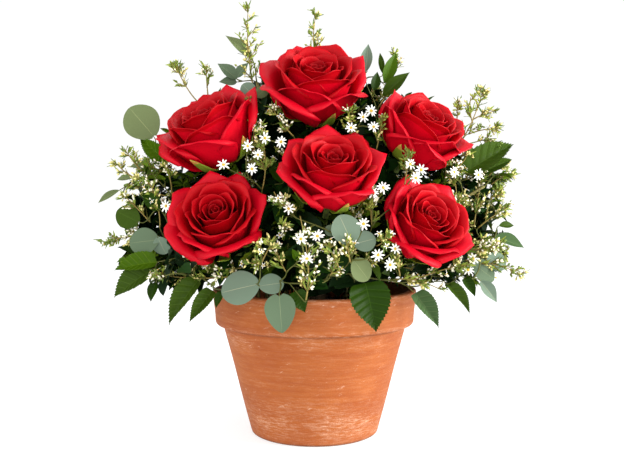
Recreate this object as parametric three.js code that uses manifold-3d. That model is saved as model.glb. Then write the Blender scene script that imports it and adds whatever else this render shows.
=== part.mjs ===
// A rose bush in a terracotta pot: a rimmed pot full of soil, a short woody stem whose knobbly head sends
// one cane to each bloom, side shoots that rise from the soil, and leafy masses packed round all of them.
// Millimetres, +Z up. The origin is the centre of the pot's underside, and the bush's best side faces -Y.
import * as THREE from "three";
import { mergeVertices } from "three/addons/utils/BufferGeometryUtils.js";
import Module from "manifold-3d";

const wasm = await Module();
wasm.setup();

// ---- Driving dimensions -------------------------------------------------------------------------------

const GAP = 0.35; // running gap between pieces that touch
const CUT = 0.55; // how far a mass stays clear of what is cut out of it

const POT = {
  height: 145.5,
  rimRadius: 102.5,
  lipDepth: 34.5,
  lipFootRadius: 99.5,
  neckRadius: 92.4,
  baseRadius: 63.8,
  wall: 7.5,
  floor: 9,
  drainRadius: 11,
  edge: 2.2, // rounding of its edges
  segments: 28,
};
const SOIL = { top: 130, flatRadius: 62, rimDrop: 5 };
const STEM = { flare: 19, waist: 11, head: 16, headHeight: 28, sides: 10 };
const CANE = { footRadius: 3.4, tipRadius: 2.7, sides: 5, steps: 3 };
const SHOOT = { footRadius: 2.3, tipRadius: 1.3, sides: 4, steps: 3 };
const BLOOM = { radius: 50, height: 68, footDepth: 34, neck: 9, segments: 12, lobes: 6, lobeDepth: 0.06 };

// Each bloom: the middle of its head, the way it faces, and its size beside the usual one.
const BLOOMS = [
  { name: "top", at: [1, -25, 347], faces: [0.02, -0.56, 0.83], size: 1.06 },
  { name: "upper_left", at: [-101, -45, 301], faces: [-0.4, -0.47, 0.79], size: 1.0 },
  { name: "upper_right", at: [104, -45, 302], faces: [0.47, -0.5, 0.73], size: 0.98 },
  { name: "middle", at: [14, -95, 260], faces: [0.05, -0.76, 0.65], size: 0.98 },
  { name: "lower_left", at: [-91, -85, 217], faces: [-0.2, -0.87, 0.45], size: 0.98 },
  { name: "lower_right", at: [101, -85, 214], faces: [0.4, -0.82, 0.41], size: 0.96 },
  { name: "back_upper_left", at: [-64, 72, 290], faces: [-0.35, 0.6, 0.72], size: 0.98 },
  { name: "back_upper_right", at: [62, 76, 284], faces: [0.36, 0.62, 0.7], size: 0.96 },
  { name: "back_middle", at: [4, 108, 214], faces: [0.03, 0.89, 0.45], size: 0.98 },
  { name: "back_left", at: [-114, 42, 214], faces: [-0.8, 0.42, 0.43], size: 0.94 },
  { name: "back_right", at: [114, 44, 216], faces: [0.8, 0.42, 0.43], size: 0.94 },
];

// Leafy masses: the middle, the half sizes along their own axes, and the way a leaning one points.
// Those further down the list are cut round those above them.
const UP = [0, 0, 1];
const LEAFY = [
  { name: "heart", at: [0, 2, 216], half: [96, 84, 86] },
  { name: "crown", at: [-2, 34, 318], half: [74, 46, 42] },
  { name: "left", at: [-155, -12, 212], half: [62, 54, 58] },
  { name: "right", at: [148, -10, 208], half: [61, 54, 60] },
  { name: "front", at: [0, -118, 168], half: [72, 36, 46] },
  { name: "front_left", at: [-112, -92, 157], half: [64, 50, 41] },
  { name: "front_right", at: [112, -92, 157], half: [62, 50, 42] },
  { name: "back", at: [-2, 113, 168], half: [70, 40, 46] },
  { name: "back_left", at: [-108, 92, 164], half: [62, 54, 46] },
  { name: "back_right", at: [108, 92, 164], half: [62, 54, 46] },
];

// Airy sprays, which narrow towards their tips. Each grows on a side shoot, which leaves the soil at an
// angle and a radius, and whose bare part ends at the spray's foot.
const SPRAYS = [
  { name: "top_left", at: [-62, 6, 384], half: [22, 18, 40], along: [-0.12, 0, 1], angle: 150, radius: 34 },
  { name: "top", at: [2, 24, 396], half: [14, 13, 31], along: [0.02, 0, 1], angle: 75, radius: 36 },
  { name: "top_right", at: [74, 26, 352], half: [28, 19, 38], along: [0.35, 0, 1], angle: 42, radius: 44 },
  { name: "upper_left", at: [-121, 14, 344], half: [28, 21, 38], along: [-0.5, 0, 1], angle: 178, radius: 48 },
  { name: "left", at: [-166, -20, 298], half: [28, 19, 37], along: [-0.4, 0, 1], angle: 196, radius: 58 },
  { name: "upper_right", at: [170, -6, 314], half: [21, 17, 38], along: [0.45, 0, 1], angle: 8, radius: 50 },
  { name: "right", at: [178, -30, 266], half: [26, 17, 28], along: [0.7, 0, 1], angle: -16, radius: 58 },
  { name: "back", at: [-10, 128, 316], half: [26, 21, 36], along: [0, 0.3, 1], angle: 120, radius: 36 },
];
const FOOT = 0.78; // where a spray's foot lies, as a share of its half length
const WAVE = 0.13; // how far a mass swells and sinks beside its plain oval
const NARROW = 0.42; // how far a spray narrows towards its tip

// ---- Small tools --------------------------------------------------------------------------------------

const vector = (triple) => new THREE.Vector3(...triple);

/** A closed geometry as a manifold-3d solid. */
function solidOf(geometry) {
  const loose = geometry.index ? geometry.toNonIndexed() : geometry;
  const bare = new THREE.BufferGeometry().setAttribute("position", loose.getAttribute("position"));
  const merged = mergeVertices(bare, 1e-3);
  return new wasm.Manifold(
    new wasm.Mesh({
      numProp: 3,
      vertProperties: merged.attributes.position.array,
      triVerts: merged.index.array,
    }),
  );
}

/** The largest body of a manifold-3d solid, as a geometry. */
function geometryOf(solid) {
  const largest = solid.decompose().reduce((a, b) => (a.volume() > b.volume() ? a : b));
  const mesh = largest.getMesh();
  const geometry = new THREE.BufferGeometry()
    .setAttribute("position", new THREE.BufferAttribute(mesh.vertProperties, 3))
    .setIndex(new THREE.BufferAttribute(mesh.triVerts, 1));
  geometry.computeVertexNormals();
  return geometry;
}

/** A profile of [radius, height] pairs turned round the vertical axis. */
function turned(profile, segments) {
  const points = profile.map(([radius, height]) => new THREE.Vector2(radius, height));
  return new THREE.LatheGeometry(points, segments).rotateX(Math.PI / 2);
}

/** Moves every vertex of a geometry by a function of its position. */
function reshaped(geometry, move) {
  const position = geometry.getAttribute("position");
  const point = new THREE.Vector3();
  for (let i = 0; i < position.count; i += 1) {
    move(point.fromBufferAttribute(position, i));
    position.setXYZ(i, point.x, point.y, point.z);
  }
  return geometry;
}

/** Turns a geometry that stands along +Z so that it points along a direction, and moves it to a place. */
function placed(geometry, at, direction) {
  const turn = new THREE.Quaternion().setFromUnitVectors(vector(UP), vector(direction).normalize());
  return geometry.applyQuaternion(turn).translate(...at);
}

/** A round limb along a curve, tapering from its foot to its tip, with flat ends. */
function limb(curve, { footRadius, tipRadius, sides, steps }, grow = 0) {
  const frames = curve.computeFrenetFrames(steps, false);
  const straight = new THREE.CylinderGeometry(tipRadius + grow, footRadius + grow, steps, sides, steps)
    .rotateX(Math.PI / 2)
    .translate(0, 0, steps / 2);
  return reshaped(straight, (point) => {
    const step = Math.round(point.z);
    const { x, y } = point;
    const beyond = grow * (Number(step === steps) - Number(step === 0));
    point
      .copy(curve.getPointAt(step / steps))
      .addScaledVector(frames.normals[step], x)
      .addScaledVector(frames.binormals[step], y)
      .addScaledVector(frames.tangents[step], beyond);
  });
}

// ---- The pot and its soil -----------------------------------------------------------------------------

const lipZ = POT.height - POT.lipDepth;
const innerRimRadius = POT.rimRadius - POT.wall - 1;
const innerNeckRadius = POT.neckRadius - POT.wall;
const innerBaseRadius = POT.baseRadius - POT.wall;

/** Radius of the pot's inner wall at a height between its floor and its rim. */
function innerRadius(z) {
  const low = z < lipZ;
  const [z0, z1] = low ? [POT.floor, lipZ] : [lipZ, POT.height];
  const [r0, r1] = low ? [innerBaseRadius, innerNeckRadius] : [innerNeckRadius, innerRimRadius];
  return THREE.MathUtils.mapLinear(z, z0, z1, r0, r1);
}

/** The pot: straight tapering sides, an upright lip, rounded edges and a drain hole. */
function pot(grow = 0) {
  const { edge, rimRadius, lipFootRadius, neckRadius, baseRadius, drainRadius, height, floor } = POT;
  const profile = [
    [drainRadius, 0],
    [baseRadius - edge + grow, 0],
    [baseRadius + grow, edge],
    [neckRadius + grow, lipZ - grow],
    [lipFootRadius + grow, lipZ - grow],
    [rimRadius + grow, height - edge + grow],
    [rimRadius - edge + grow, height + grow],
    [innerRimRadius + edge - grow, height + grow],
    [innerRimRadius - grow, height - edge + grow],
    [innerNeckRadius - grow, lipZ],
    [innerBaseRadius - grow, floor],
    [drainRadius, floor],
    [drainRadius, 0],
  ];
  return turned(profile, POT.segments);
}

/** The soil: it fills the pot to below the rim, level round the stem and sunk a little at the wall. */
function soil(grow = 0) {
  const wallZ = SOIL.top - SOIL.rimDrop;
  const profile = [
    [0, POT.floor + GAP],
    [innerBaseRadius - GAP, POT.floor + GAP],
    [innerNeckRadius - GAP, lipZ],
    [innerRadius(wallZ) - GAP, wallZ + grow],
    [SOIL.flatRadius, SOIL.top + grow],
    [0, SOIL.top + grow],
  ];
  return turned(profile, POT.segments);
}

// ---- The stem, the canes and the shoots ---------------------------------------------------------------

const stemFootZ = SOIL.top + GAP;
const stemHeadAt = [0, 0, stemFootZ + STEM.headHeight];

/** The short woody stem: a flared foot on the soil, a waist, and a round knobbly head. */
function stem(grow = 0) {
  const { flare, waist, head, headHeight, sides } = STEM;
  const profile = [
    [0, -grow],
    [flare + grow, -grow],
    [waist + 3 + grow, headHeight * 0.16],
    [waist + grow, headHeight * 0.4],
  ];
  for (let degrees = -40; degrees < 90; degrees += 26) {
    const angle = THREE.MathUtils.degToRad(degrees);
    profile.push([(head + grow) * Math.cos(angle), headHeight + (head + grow) * Math.sin(angle)]);
  }
  profile.push([0, headHeight + head + grow]);
  return turned(profile, sides).translate(0, 0, stemFootZ);
}

/** The foot of a bloom's head, where its cane ends. */
function bloomFoot({ at, faces, size }) {
  return vector(at).addScaledVector(vector(faces).normalize(), -BLOOM.footDepth * size);
}

/** The line of a cane: straight out from inside the stem's head, then round into the back of its bloom. */
function caneCurve(bloom) {
  const facing = vector(bloom.faces).normalize();
  const end = bloomFoot(bloom).addScaledVector(facing, -GAP);
  const head = vector(stemHeadAt);
  const outwards = end.clone().sub(head).normalize();
  const start = head.addScaledVector(outwards, STEM.head * 0.8);
  const reach = start.distanceTo(end) / 3;
  return new THREE.CubicBezierCurve3(
    start,
    start.clone().addScaledVector(outwards, reach),
    end.clone().addScaledVector(facing, -reach),
    end,
  );
}

/** The line of a side shoot: upright from the soil, then leaning out to the foot of its spray. */
function shootCurve({ at, half, along, angle, radius }) {
  const turn = THREE.MathUtils.degToRad(angle);
  const start = new THREE.Vector3(radius * Math.cos(turn), radius * Math.sin(turn), SOIL.top + GAP);
  const end = vector(at).addScaledVector(vector(along).normalize(), -FOOT * half[2]);
  const upright = start.clone().setZ(THREE.MathUtils.lerp(start.z, end.z, 0.45));
  return new THREE.QuadraticBezierCurve3(start, upright, end);
}

// ---- The blooms ---------------------------------------------------------------------------------------

/** A bloom's head: a cup of petals on a flat foot, widest at its six lobes, with a shallow hollow on top. */
function bloom({ at, faces, size }, grow = 0) {
  const { radius, height, neck, segments, lobes, lobeDepth } = BLOOM;
  const profile = [
    [0, 0],
    [neck, 0],
    [radius * 0.66, height * 0.28],
    [radius, height * 0.76],
    [radius * 0.64, height],
    [0, height * 0.93],
  ].map(([r, z]) => [r * size, z * size]);
  const middle = (height * size) / 2;
  const head = reshaped(turned(profile, segments), (point) => {
    const around = Math.hypot(point.x, point.y);
    if (around < 1e-6) {
      point.z += grow * Math.sign(point.z - middle);
      return;
    }
    const share = THREE.MathUtils.clamp(point.z / (height * size), 0, 1);
    const lobe = 1 + lobeDepth * share * Math.cos(lobes * Math.atan2(point.y, point.x));
    const stretch = lobe + grow / around;
    point.set(point.x * stretch, point.y * stretch, point.z + grow * Math.sign(point.z - middle));
  });
  return placed(head, bloomFoot({ at, faces, size }).toArray(), faces);
}

// ---- The leafy masses ---------------------------------------------------------------------------------

/** How far a mass swells in a direction: a few slow waves that differ from mass to mass. */
function swelling(direction, phase) {
  const waves =
    Math.sin(3.1 * direction.x + phase) +
    Math.sin(3.7 * direction.y + 1.7 * phase) +
    Math.sin(4.3 * direction.z + 2.3 * phase);
  return 1 + (WAVE * waves) / 3;
}

/** An uneven leafy mass: a waved oval, which narrow makes slimmer towards its tip. */
function mass({ at, half, along = UP, detail = 2 }, phase, narrow, grow = 0) {
  const blob = reshaped(new THREE.IcosahedronGeometry(1, detail), (direction) => {
    const size = swelling(direction, phase);
    const girth = size * (1 - narrow * direction.z * Math.abs(direction.z));
    direction.set(
      direction.x * (half[0] * girth + grow),
      direction.y * (half[1] * girth + grow),
      direction.z * (half[2] * size + grow),
    );
  });
  return placed(blob, at, along);
}

// ---- Everything together ------------------------------------------------------------------------------

const TERRACOTTA = { color: 0xc87343, roughness: 0.85, metalness: 0 };
const EARTH = { color: 0x2b1d13, roughness: 0.95, metalness: 0 };
const BARK = { color: 0x6b5a34, roughness: 0.8, metalness: 0 };
const GREEN_STEM = { color: 0x6f7f38, roughness: 0.6, metalness: 0 };
const RED_PETAL = { color: 0xb8061a, roughness: 0.55, metalness: 0 };
const LEAF = { color: 0x2f5a2a, roughness: 0.6, metalness: 0 };
const GREY_LEAF = { color: 0x7d9a80, roughness: 0.65, metalness: 0 };

const bush = new THREE.Group();

function add(name, geometry, finish) {
  const mesh = new THREE.Mesh(geometry, new THREE.MeshStandardMaterial(finish));
  mesh.name = name;
  bush.add(mesh);
}

const taken = [pot(CUT), soil(CUT), stem(CUT)].map(solidOf);
const stemSeat = solidOf(stem(GAP));

add("pot", pot(), TERRACOTTA);
add("soil", soil(), EARTH);
add("stem", stem(), BARK);

for (const each of BLOOMS) {
  const curve = caneCurve(each);
  const cane = solidOf(limb(curve, CANE)).subtract(stemSeat);
  add(`cane_${each.name}`, geometryOf(cane), GREEN_STEM);
  add(`bloom_${each.name}`, bloom(each), RED_PETAL);
  taken.push(solidOf(limb(curve, CANE, CUT)), solidOf(bloom(each, CUT)));
}

for (const each of SPRAYS) {
  const curve = shootCurve(each);
  add(`shoot_${each.name}`, limb(curve, SHOOT), GREEN_STEM);
  taken.push(solidOf(limb(curve, SHOOT, CUT)));
}

let phase = 0.4; // sets the waves of one mass apart from those of the next
function addMass(name, shape, narrow, finish) {
  const whole = solidOf(mass(shape, phase, narrow));
  add(name, geometryOf(whole.subtract(wasm.Manifold.union(taken))), finish);
  taken.push(solidOf(mass(shape, phase, narrow, CUT)));
  phase += 1.3;
}

for (const each of LEAFY) {
  addMass(`leaves_${each.name}`, each, 0, LEAF);
}
for (const each of SPRAYS) {
  addMass(`spray_${each.name}`, { ...each, detail: 1 }, NARROW, GREY_LEAF);
}

export default bush;
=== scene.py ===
"""A potted rose bush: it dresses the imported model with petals, leaves, sprays, daisies, soil and clay.

Lengths are in metres, +Z is up, and the bush's best side faces -Y.
"""

from __future__ import annotations

import logging
import math
from collections.abc import Sequence
from dataclasses import dataclass, field
from enum import Enum, IntEnum
from typing import Any

import bpy
import numpy as np
from mathutils import Euler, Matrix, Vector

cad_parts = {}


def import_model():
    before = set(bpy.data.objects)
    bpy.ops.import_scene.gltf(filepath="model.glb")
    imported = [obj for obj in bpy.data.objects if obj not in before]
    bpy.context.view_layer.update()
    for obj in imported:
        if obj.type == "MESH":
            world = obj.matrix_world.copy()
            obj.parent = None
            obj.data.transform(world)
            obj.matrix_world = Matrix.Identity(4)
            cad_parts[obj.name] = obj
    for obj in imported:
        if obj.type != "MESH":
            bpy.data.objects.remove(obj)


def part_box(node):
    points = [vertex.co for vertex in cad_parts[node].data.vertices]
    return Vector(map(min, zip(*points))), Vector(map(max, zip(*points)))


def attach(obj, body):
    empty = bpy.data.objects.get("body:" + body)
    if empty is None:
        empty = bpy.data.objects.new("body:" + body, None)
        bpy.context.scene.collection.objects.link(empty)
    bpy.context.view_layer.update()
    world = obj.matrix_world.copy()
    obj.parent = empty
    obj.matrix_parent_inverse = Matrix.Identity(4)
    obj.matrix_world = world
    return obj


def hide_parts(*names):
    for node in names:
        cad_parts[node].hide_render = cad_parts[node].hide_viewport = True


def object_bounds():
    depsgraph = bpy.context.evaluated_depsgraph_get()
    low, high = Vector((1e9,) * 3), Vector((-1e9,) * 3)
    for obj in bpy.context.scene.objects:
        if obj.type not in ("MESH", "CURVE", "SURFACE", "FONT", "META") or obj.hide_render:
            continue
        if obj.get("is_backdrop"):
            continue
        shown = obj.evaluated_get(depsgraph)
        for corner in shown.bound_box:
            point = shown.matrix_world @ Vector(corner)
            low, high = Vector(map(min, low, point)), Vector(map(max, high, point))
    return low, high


log = logging.getLogger("rose_bush")
Array = np.ndarray
Colour = tuple[float, float, float, float]
Point = tuple[float, float, float]
BODY = "root"
MM = 0.001
UP = np.array([0.0, 0.0, 1.0])


# ---- Shader expressions ---------------------------------------------------------------------------------


@dataclass
class Value:
    """A number socket of a node, on which the usual operators add Math nodes."""

    graph: Graph
    socket: Any

    def _math(self, operation: str, left: Any, right: Any = 0.0, clamp: bool = False) -> Value:
        """Adds one Math node.

        Args:
            operation: The Math node's operation.
            left: Its first value.
            right: Its second value.
            clamp: Whether the result stays from 0 to 1.

        Returns:
            The node's result.
        """
        settings = {"operation": operation, "use_clamp": clamp}
        return Value(self.graph, self.graph.node("ShaderNodeMath", settings, {0: left, 1: right}).outputs[0])

    def __add__(self, other: Any) -> Value:
        """The sum."""
        return self._math("ADD", self, other)

    __radd__ = __add__

    def __mul__(self, other: Any) -> Value:
        """The product."""
        return self._math("MULTIPLY", self, other)

    __rmul__ = __mul__

    def __sub__(self, other: Any) -> Value:
        """The difference."""
        return self._math("SUBTRACT", self, other)

    def within(self, low: float, high: float) -> Value:
        """How far the value is from low to high, kept from 0 to 1."""
        return self._math("MULTIPLY", self - low, 1.0 / (high - low), clamp=True)

    def near(self, middle: float, width: float) -> Value:
        """1 at the middle, falling to 0 at width either side of it."""
        return self._math("SUBTRACT", 1.0, self._math("ABSOLUTE", self - middle) * (1.0 / width), clamp=True)


class Graph:
    """A material's nodes, round one Principled shader."""

    def __init__(self, name: str) -> None:
        """Makes an empty material.

        Args:
            name: The material's name.
        """
        self.material = bpy.data.materials.new(name)
        self.material.use_nodes = True
        self.tree = self.material.node_tree
        self.shader = self.tree.nodes["Principled BSDF"]

    def node(self, kind: str, settings: dict[str, Any] | None = None, inputs: dict | None = None) -> Any:
        """Adds a node.

        Args:
            kind: The node's type.
            settings: Its settings, which are set first; "stops" holds a ramp's places and colours.
            inputs: Values or links of its sockets, by name or number.

        Returns:
            The node.
        """
        made = self.tree.nodes.new(kind)
        for key, value in (settings or {}).items():
            setattr(made, key, value)
        for key, value in (inputs or {}).items():
            self.feed(made.inputs[key], value)
        return made

    def feed(self, socket: Any, value: Any) -> None:
        """Sets or links a socket.

        Args:
            socket: The socket that takes the value.
            value: A number, a tuple, a Value or a node's output.
        """
        value = value.socket if isinstance(value, Value) else value
        if isinstance(value, bpy.types.NodeSocket):
            self.tree.links.new(value, socket)
        else:
            socket.default_value = value

    def set(self, **inputs: Any) -> None:
        """Feeds the shader's sockets, named with underscores for spaces."""
        for key, value in inputs.items():
            self.feed(self.shader.inputs[key.replace("_", " ")], value)

    def place(self, stretch: Point = (1.0, 1.0, 1.0), tilt: float = 0.0) -> Any:
        """Object coordinates, tilted and then stretched.

        Args:
            stretch: How much finer they get along each axis.
            tilt: How far they are tilted about Y first, in radians.

        Returns:
            The coordinates' socket.
        """
        at = self.node("ShaderNodeTexCoord").outputs["Object"]
        if tilt:
            at = self.node("ShaderNodeMapping", None, {"Vector": at, "Rotation": (0, tilt, 0)}).outputs[0]
        return self.node("ShaderNodeMapping", None, {"Vector": at, "Scale": stretch}).outputs[0]

    def height(self) -> Value:
        """The height above the ground, in metres."""
        split = self.node("ShaderNodeSeparateXYZ", None, {0: self.place()})
        return Value(self, split.outputs["Z"])

    def noise(
        self,
        scale: float,
        stretch: Point = (1.0, 1.0, 1.0),
        detail: float = 3.0,
        rough: float = 0.5,
        tilt: float = 0.0,
    ) -> Value:
        """Cloudy noise from 0 to 1.

        Args:
            scale: Waves in a metre.
            stretch: How much finer it is along each axis.
            detail: How many finer layers it has.
            rough: How strong the finer layers are.
            tilt: How far it is tilted about Y before it is stretched, in radians.

        Returns:
            The noise.
        """
        inputs = {"Vector": self.place(stretch, tilt), "Scale": scale, "Detail": detail, "Roughness": rough}
        return Value(self, self.node("ShaderNodeTexNoise", None, inputs).outputs[0])

    def blend(self, share: Any, low: Any, high: Any) -> Any:
        """The colour that lies a share of the way from low to high."""
        made = self.node("ShaderNodeMix", {"data_type": "RGBA"}, {0: share, 6: low, 7: high})
        return made.outputs[2]

    def bump(self, height: Value, depth: float, strength: float = 1.0) -> None:
        """Gives the surface a relief.

        Args:
            height: The relief, from 0 to 1.
            depth: How high 1 is, in metres.
            strength: How much of it shows.
        """
        made = self.node("ShaderNodeBump", None, {"Height": height, "Distance": depth, "Strength": strength})
        self.set(Normal=made.outputs[0])


def rgb(red: float, green: float, blue: float) -> Colour:
    """A colour given as 0 to 255 on a screen, as the linear colour that a shader takes."""
    linear = [((v / 255 + 0.055) / 1.055) ** 2.4 if v > 10 else v / 255 / 12.92 for v in (red, green, blue)]
    return (linear[0], linear[1], linear[2], 1.0)


# ---- Finishes -------------------------------------------------------------------------------------------


@dataclass(frozen=True)
class Living:
    """The skin of a petal, leaf, bud or twig: a plain colour with a fine grain in its gloss and relief."""

    name: str
    colour: Colour
    rough: float = 0.5
    shine: float = 0.4
    sheen: float = 0.0
    grain: float = 900.0
    depth: float = 0.0002

    def material(self) -> bpy.types.Material:
        """Makes the material.

        Returns:
            The material.
        """
        graph = Graph(self.name)
        grain = graph.noise(self.grain, detail=2.0)
        graph.set(Base_Color=self.colour, Roughness=self.rough - 0.12 + 0.24 * grain)
        graph.set(Sheen_Weight=self.sheen, Sheen_Roughness=0.5, Sheen_Tint=self.colour)
        graph.set(Specular_IOR_Level=self.shine)
        graph.bump(grain, self.depth, 0.6)
        return graph.material


@dataclass(frozen=True)
class Clay:
    """Fired clay, turned on a wheel, with pale salts brushed round it and thickest near its foot."""

    name: str = "terracotta"
    body: Colour = rgb(160, 86, 33)
    dark: Colour = rgb(143, 68, 20)
    salt: Colour = rgb(214, 170, 142)
    # Painted shadow: the dark brown of the contact shadow at the foot and of the shadow under the lip.
    shadow_colour: Colour = rgb(84, 46, 26)

    def material(self, foot: float, lip: float, rim: float) -> bpy.types.Material:
        """Makes the material.

        Args:
            foot: The height below which salts gather, in metres.
            lip: The height of the lip's lower edge.
            rim: The height of the rim.

        Returns:
            The material.
        """
        graph = Graph(self.name)
        z = graph.height()
        streaks = graph.noise(13.0, (1.0, 1.0, 20.0), 6.0, 0.6)
        clouds = graph.noise(20.0, (1.0, 1.0, 2.0), 4.0, 0.55)
        fine = graph.noise(110.0, (1.0, 1.0, 7.0), 5.0, 0.75)
        specks = graph.noise(700.0, detail=3.0)
        patches = clouds.within(0.44, 0.66)
        low = z.near(foot * 0.55, foot * 0.75) * (0.35 + 0.9 * patches)
        under = z.near(lip - 0.010, 0.014) * patches * 0.8
        # Pale salts on the lip's lower edge and round the rim, which also stand for a painted highlight along
        # those edges.
        salt_and_highlight_edges = z.near(lip + 0.0012, 0.0035) * 0.55 + z.near(rim, 0.010) * 0.45
        cover = (low + under + salt_and_highlight_edges + 0.30 * streaks.within(0.5, 0.75) + 0.10) * fine.within(0.44, 0.66)
        scuffs = graph.noise(34.0, (2.4, 1.0, 9.0), 4.0, 0.7, 0.5).within(0.63, 0.69)
        salts = (cover + 0.8 * scuffs * fine.within(0.4, 0.6)) * (0.5 + 0.5 * specks.within(0.35, 0.6))
        salts = salts.within(0.0, 1.0)
        tone = (clouds * 0.5 + streaks * 0.5).within(0.36, 0.62)
        base = graph.blend(tone, self.dark, self.body)
        # Painted shadow: a dark line where the foot meets the floor, and a dark band just under the lip.
        painted_shadow = z.near(0.0, 0.0036) * 0.9 + z.near(lip - 0.0014, 0.0018) * 0.4
        base = graph.blend(painted_shadow, base, self.shadow_colour)
        graph.set(Base_Color=graph.blend(salts * 0.7, base, self.salt))
        graph.set(Roughness=0.74 + 0.14 * salts, Specular_IOR_Level=0.32)
        graph.bump(specks * 0.5 + streaks * 0.7 + salts * 0.5, 0.0006, 0.55)
        return graph.material


@dataclass(frozen=True)
class Earth:
    """Moist potting soil with paler fibres."""

    name: str = "potting_soil"
    dark: Colour = rgb(24, 16, 11)
    pale: Colour = rgb(70, 50, 34)

    def material(self) -> bpy.types.Material:
        """Makes the material.

        Returns:
            The material.
        """
        graph = Graph(self.name)
        crumbs = graph.noise(260.0, detail=5.0, rough=0.7)
        graph.set(Base_Color=graph.blend(crumbs.within(0.4, 0.75), self.dark, self.pale))
        graph.set(Roughness=0.85 + 0.1 * crumbs)
        graph.bump(crumbs, 0.003)
        return graph.material


@dataclass(frozen=True)
class Bark:
    """Bark with fissures that run along a stem."""

    name: str
    groove: Colour
    ridge: Colour
    scale: float = 160.0

    def material(self) -> bpy.types.Material:
        """Makes the material.

        Returns:
            The material.
        """
        graph = Graph(self.name)
        ridges = graph.noise(self.scale, (1.0, 1.0, 0.25), 4.0, 0.65)
        graph.set(Base_Color=graph.blend(ridges.within(0.35, 0.65), self.groove, self.ridge))
        graph.set(Roughness=0.6 + 0.25 * ridges)
        graph.bump(ridges, 0.0012)
        return graph.material


def skins(name: str, colours: Sequence[Colour]) -> list[bpy.types.Material]:
    """One plain skin for each colour, numbered from 0."""
    return [Living(f"{name}_{i}", colour, 0.5).material() for i, colour in enumerate(colours)]


# ---- Patches: meshes as arrays --------------------------------------------------------------------------


def unit(vectors: Array) -> Array:
    """Each vector at length 1."""
    return vectors / np.maximum(np.linalg.norm(vectors, axis=-1, keepdims=True), 1e-12)


def frames_along(along: Array, facing: Array) -> Array:
    """Turned axes for shapes that run along local Y and face local Z.

    Args:
        along: Where each shape runs, (k, 3).
        facing: Roughly where each shape's upper side looks, (k, 3).

    Returns:
        Matrices (k, 3, 3) whose columns are the side, the run and the facing.
    """
    run = unit(along)
    side = unit(np.cross(run, facing))
    return np.stack([side, run, np.cross(side, run)], axis=-1)


def fan(around: int) -> Array:
    """Faces that close a ring with an even number of points."""
    return np.array([[0, 2 * j - 1, 2 * j, 2 * j + 1] for j in range(1, around // 2)])


def quads(index: Array) -> Array:
    """Faces between the neighbours in a grid of point numbers."""
    corners = (index[:-1, :-1], index[:-1, 1:], index[1:, 1:], index[1:, :-1])
    return np.stack(corners, axis=-1).reshape(-1, 4)


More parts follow.
